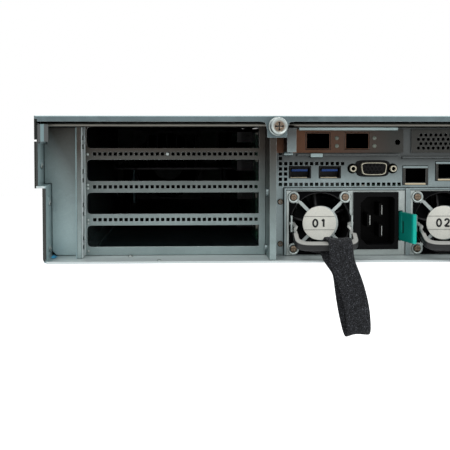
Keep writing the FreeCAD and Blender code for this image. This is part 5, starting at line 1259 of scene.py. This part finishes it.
class SERVER_OT_display_socket(bpy.types.Operator):
    """Display socket: D-shaped shell, black insert with its contact holes, flange and jackscrews."""

    bl_idname = "server.display_socket"
    bl_label = "Display socket"

    def execute(self, context):
        rim = sheet_metal("shell_nickel", "rim", crystals=900.0, contrast=0.05, wear=0.4)
        # Beyond y = -736.4 mm the nuts turn black: their black washer, and painted shade down the hole.
        nut = sheet_metal("jack_nickel", "rim", crystals=900.0, contrast=0.05, wear=0.4,
                          fades=[(IN, -737.6, -736.4, "void")])
        black = plastic("insert_black", "deep", wear=0.1, gloss=0.1)
        middle = np.array([-0.0200, 0.0, 0.0115])
        shell = self.shell("display_shell", middle, rim)
        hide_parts("vga_port")
        others = [self.insert("display_insert", middle, black), self.flange("display_flange", middle, black),
                  self.nuts("display_jacks", middle, nut)]
        settle("chassis", "socket_metal", shell, *others)
        return {"FINISHED"}

    @staticmethod
    def outline(turn, reach_x, reach_z):
        """A rounded trapezoid: superellipse of power 0.42 whose half width grows by 0.55 mm to the top."""
        x, z = [np.sign(wave) * np.abs(wave) ** 0.42 for wave in (np.cos(turn), np.sin(turn))]
        return np.stack([x * (reach_x + 0.00055 * z), z * reach_z], -1)

    @classmethod
    def loops(cls, name, middle, rings, material, around=56):
        """Skins a list of outlines; each ring is (half width, half height, y)."""
        turn = np.linspace(0, 2 * math.pi, around, endpoint=False)
        rows = []
        for reach_x, reach_z, y in rings:
            flat = cls.outline(turn, reach_x, reach_z)
            rows.append(np.stack([flat[:, 0], np.full(around, y), flat[:, 1]], -1) + middle)
        faces = grid_faces(len(rings), around, False, True)[:, ::-1]
        return build_mesh(name, np.concatenate(rows), [faces], material)

    @classmethod
    def shell(cls, name, middle, material):
        """The thin D: inner wall, rounded rim, outer wall."""
        rings = [(0.0071, 0.0033, -0.7350), (0.0071, 0.0033, -0.7404), (0.0073, 0.0035, -0.7407),
                 (0.0076, 0.0038, -0.7406), (0.0078, 0.0040, -0.7402), (0.0078, 0.0040, -0.7330)]
        return cls.loops(name, middle, rings, material)

    @classmethod
    def flange(cls, name, middle, material):
        """The dark collar round the shell."""
        rings = [(0.0077, 0.0040, -0.7358), (0.0099, 0.0048, -0.7358), (0.0105, 0.0051, -0.7355),
                 (0.0106, 0.0052, -0.7340)]
        return cls.loops(name, middle, rings, material)

    @staticmethod
    def insert(name, middle, material):
        """A plane with three rows of five holes; depth falls with the distance from the nearest hole."""
        columns, rows, pitch, rim, blend, sunk = 72, 34, 2.3, 0.75, 0.2, 0.0008
        x, z = np.meshgrid(np.linspace(-7.1, 7.1, columns), np.linspace(-3.3, 3.3, rows))
        deep = np.zeros_like(x)
        for row, shift in ((2.0, 0.0), (0.0, -1.15), (-2.0, 0.0)):
            for k in range(5):
                apart = np.hypot(x - (k - 2) * pitch - shift, z - row)
                deep = np.maximum(deep, np.clip((rim - apart) / blend, 0, 1))
        points = np.stack([x * MM, -0.7392 + deep * sunk, z * MM], -1) + middle
        return build_mesh(name, points.reshape(-1, 3), [grid_faces(rows, columns)], material)

    @staticmethod
    def nuts(name, middle, material, reach=0.012495, spokes=24):
        """Two turned nuts: a profile of (radius, y) pairs revolved about Y, as far left as right."""
        profile = np.array([(0.3, -736.0), (1.1, -736.3), (1.15, -738.6), (1.3, -739.1), (1.9, -739.0),
                            (2.2, -738.5), (2.25, -736.2), (2.9, -736.0), (3.1, -735.6), (3.1, -734.6)]) * MM
        turn = np.linspace(0, 2 * math.pi, spokes, endpoint=False)
        ring = np.stack([profile[:, :1] * np.cos(turn), np.repeat(profile[:, 1:], spokes, 1),
                         profile[:, :1] * np.sin(turn)], -1).reshape(-1, 3)
        faces = [grid_faces(len(profile), spokes, False, True)[:, ::-1]]
        spots = [(middle[0] + side * reach, middle[1], middle[2], 1.0) for side in (-1, 1)]
        return build_mesh(name, *copied(ring, faces, spots), material)


class SERVER_OT_intake_foam(bpy.types.Operator):
    """Black foam behind the front grille, on both sides of the drive bays."""

    bl_idname = "server.intake_foam"
    bl_label = "Intake foam"

    def execute(self, context):
        foam = plastic("intake_foam", "void", grain=900.0, wear=0.0, bump=0.0004)
        low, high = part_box("front_grille")
        bays = 0.0565
        for side, across in zip(SIDES, ((low.x + 0.001, -bays), (bays, high.x - 0.001))):
            made = self.sheet(f"foam_{side}", across, (low.z + 0.0002, high.z + 0.0003), foam)
            settle("chassis", "black_plastic", made)
        return {"FINISHED"}

    @staticmethod
    def sheet(name, across, up, material, columns=90, rows=44, thick=0.0008):
        """A rippled sheet, y = -1.2 - 0.3 sin(x / 2.2) sin(z / 2.6) in mm, seen from both sides."""
        x, z = np.meshgrid(np.linspace(*across, columns), np.linspace(*up, rows))
        y = (-1.2 - 0.3 * np.sin(x / MM / 2.2) * np.sin(z / MM / 2.6)) * MM
        front = np.stack([x, y, z], -1)
        back = np.stack([x[:, ::-1], y[:, ::-1] - thick, z], -1)
        points = np.concatenate([front, back]).reshape(-1, 3)
        faces = grid_faces(rows, columns)[:, ::-1]
        return build_mesh(name, points, [faces, faces + x.size], material)


class SERVER_PT_pieces(bpy.types.Panel):
    """Lists the sizes, colours and pieces in the sidebar."""

    bl_label = "Rack server"
    bl_space_type = "VIEW_3D"
    bl_region_type = "UI"
    bl_category = "Rack server"

    def draw(self, context):
        for group in (context.scene.server_sizes, context.scene.server_colours):
            box = self.layout.box()
            for key in group.__annotations__:
                box.prop(group, key)
        for piece in PIECES:
            self.layout.operator(piece.bl_idname)


PIECES = (
    SERVER_OT_sheet_finishes,
    SERVER_OT_plastic_finishes,
    SERVER_OT_socket_finishes,
    SERVER_OT_board_finishes,
    SERVER_OT_labels,
    SERVER_OT_screws,
    SERVER_OT_small_domes,
    SERVER_OT_handles,
    SERVER_OT_bracket_trim,
    SERVER_OT_display_socket,
    SERVER_OT_intake_foam,
    SERVER_OT_straps,
    SERVER_OT_stage,
)
CLASSES = (ServerSizes, ServerColours, *PIECES, SERVER_PT_pieces)


def register():
    for item in CLASSES:
        bpy.utils.register_class(item)
    bpy.types.Scene.server_sizes = PointerProperty(type=ServerSizes)
    bpy.types.Scene.server_colours = PointerProperty(type=ServerColours)


def unregister():
    del bpy.types.Scene.server_colours
    del bpy.types.Scene.server_sizes
    for item in reversed(CLASSES):
        bpy.utils.unregister_class(item)


def main():
    """Makes every piece."""
    register()
    for piece in PIECES:
        group, name = piece.bl_idname.split(".")
        getattr(getattr(bpy.ops, group), name)()


if __name__ == "__main__":
    main()
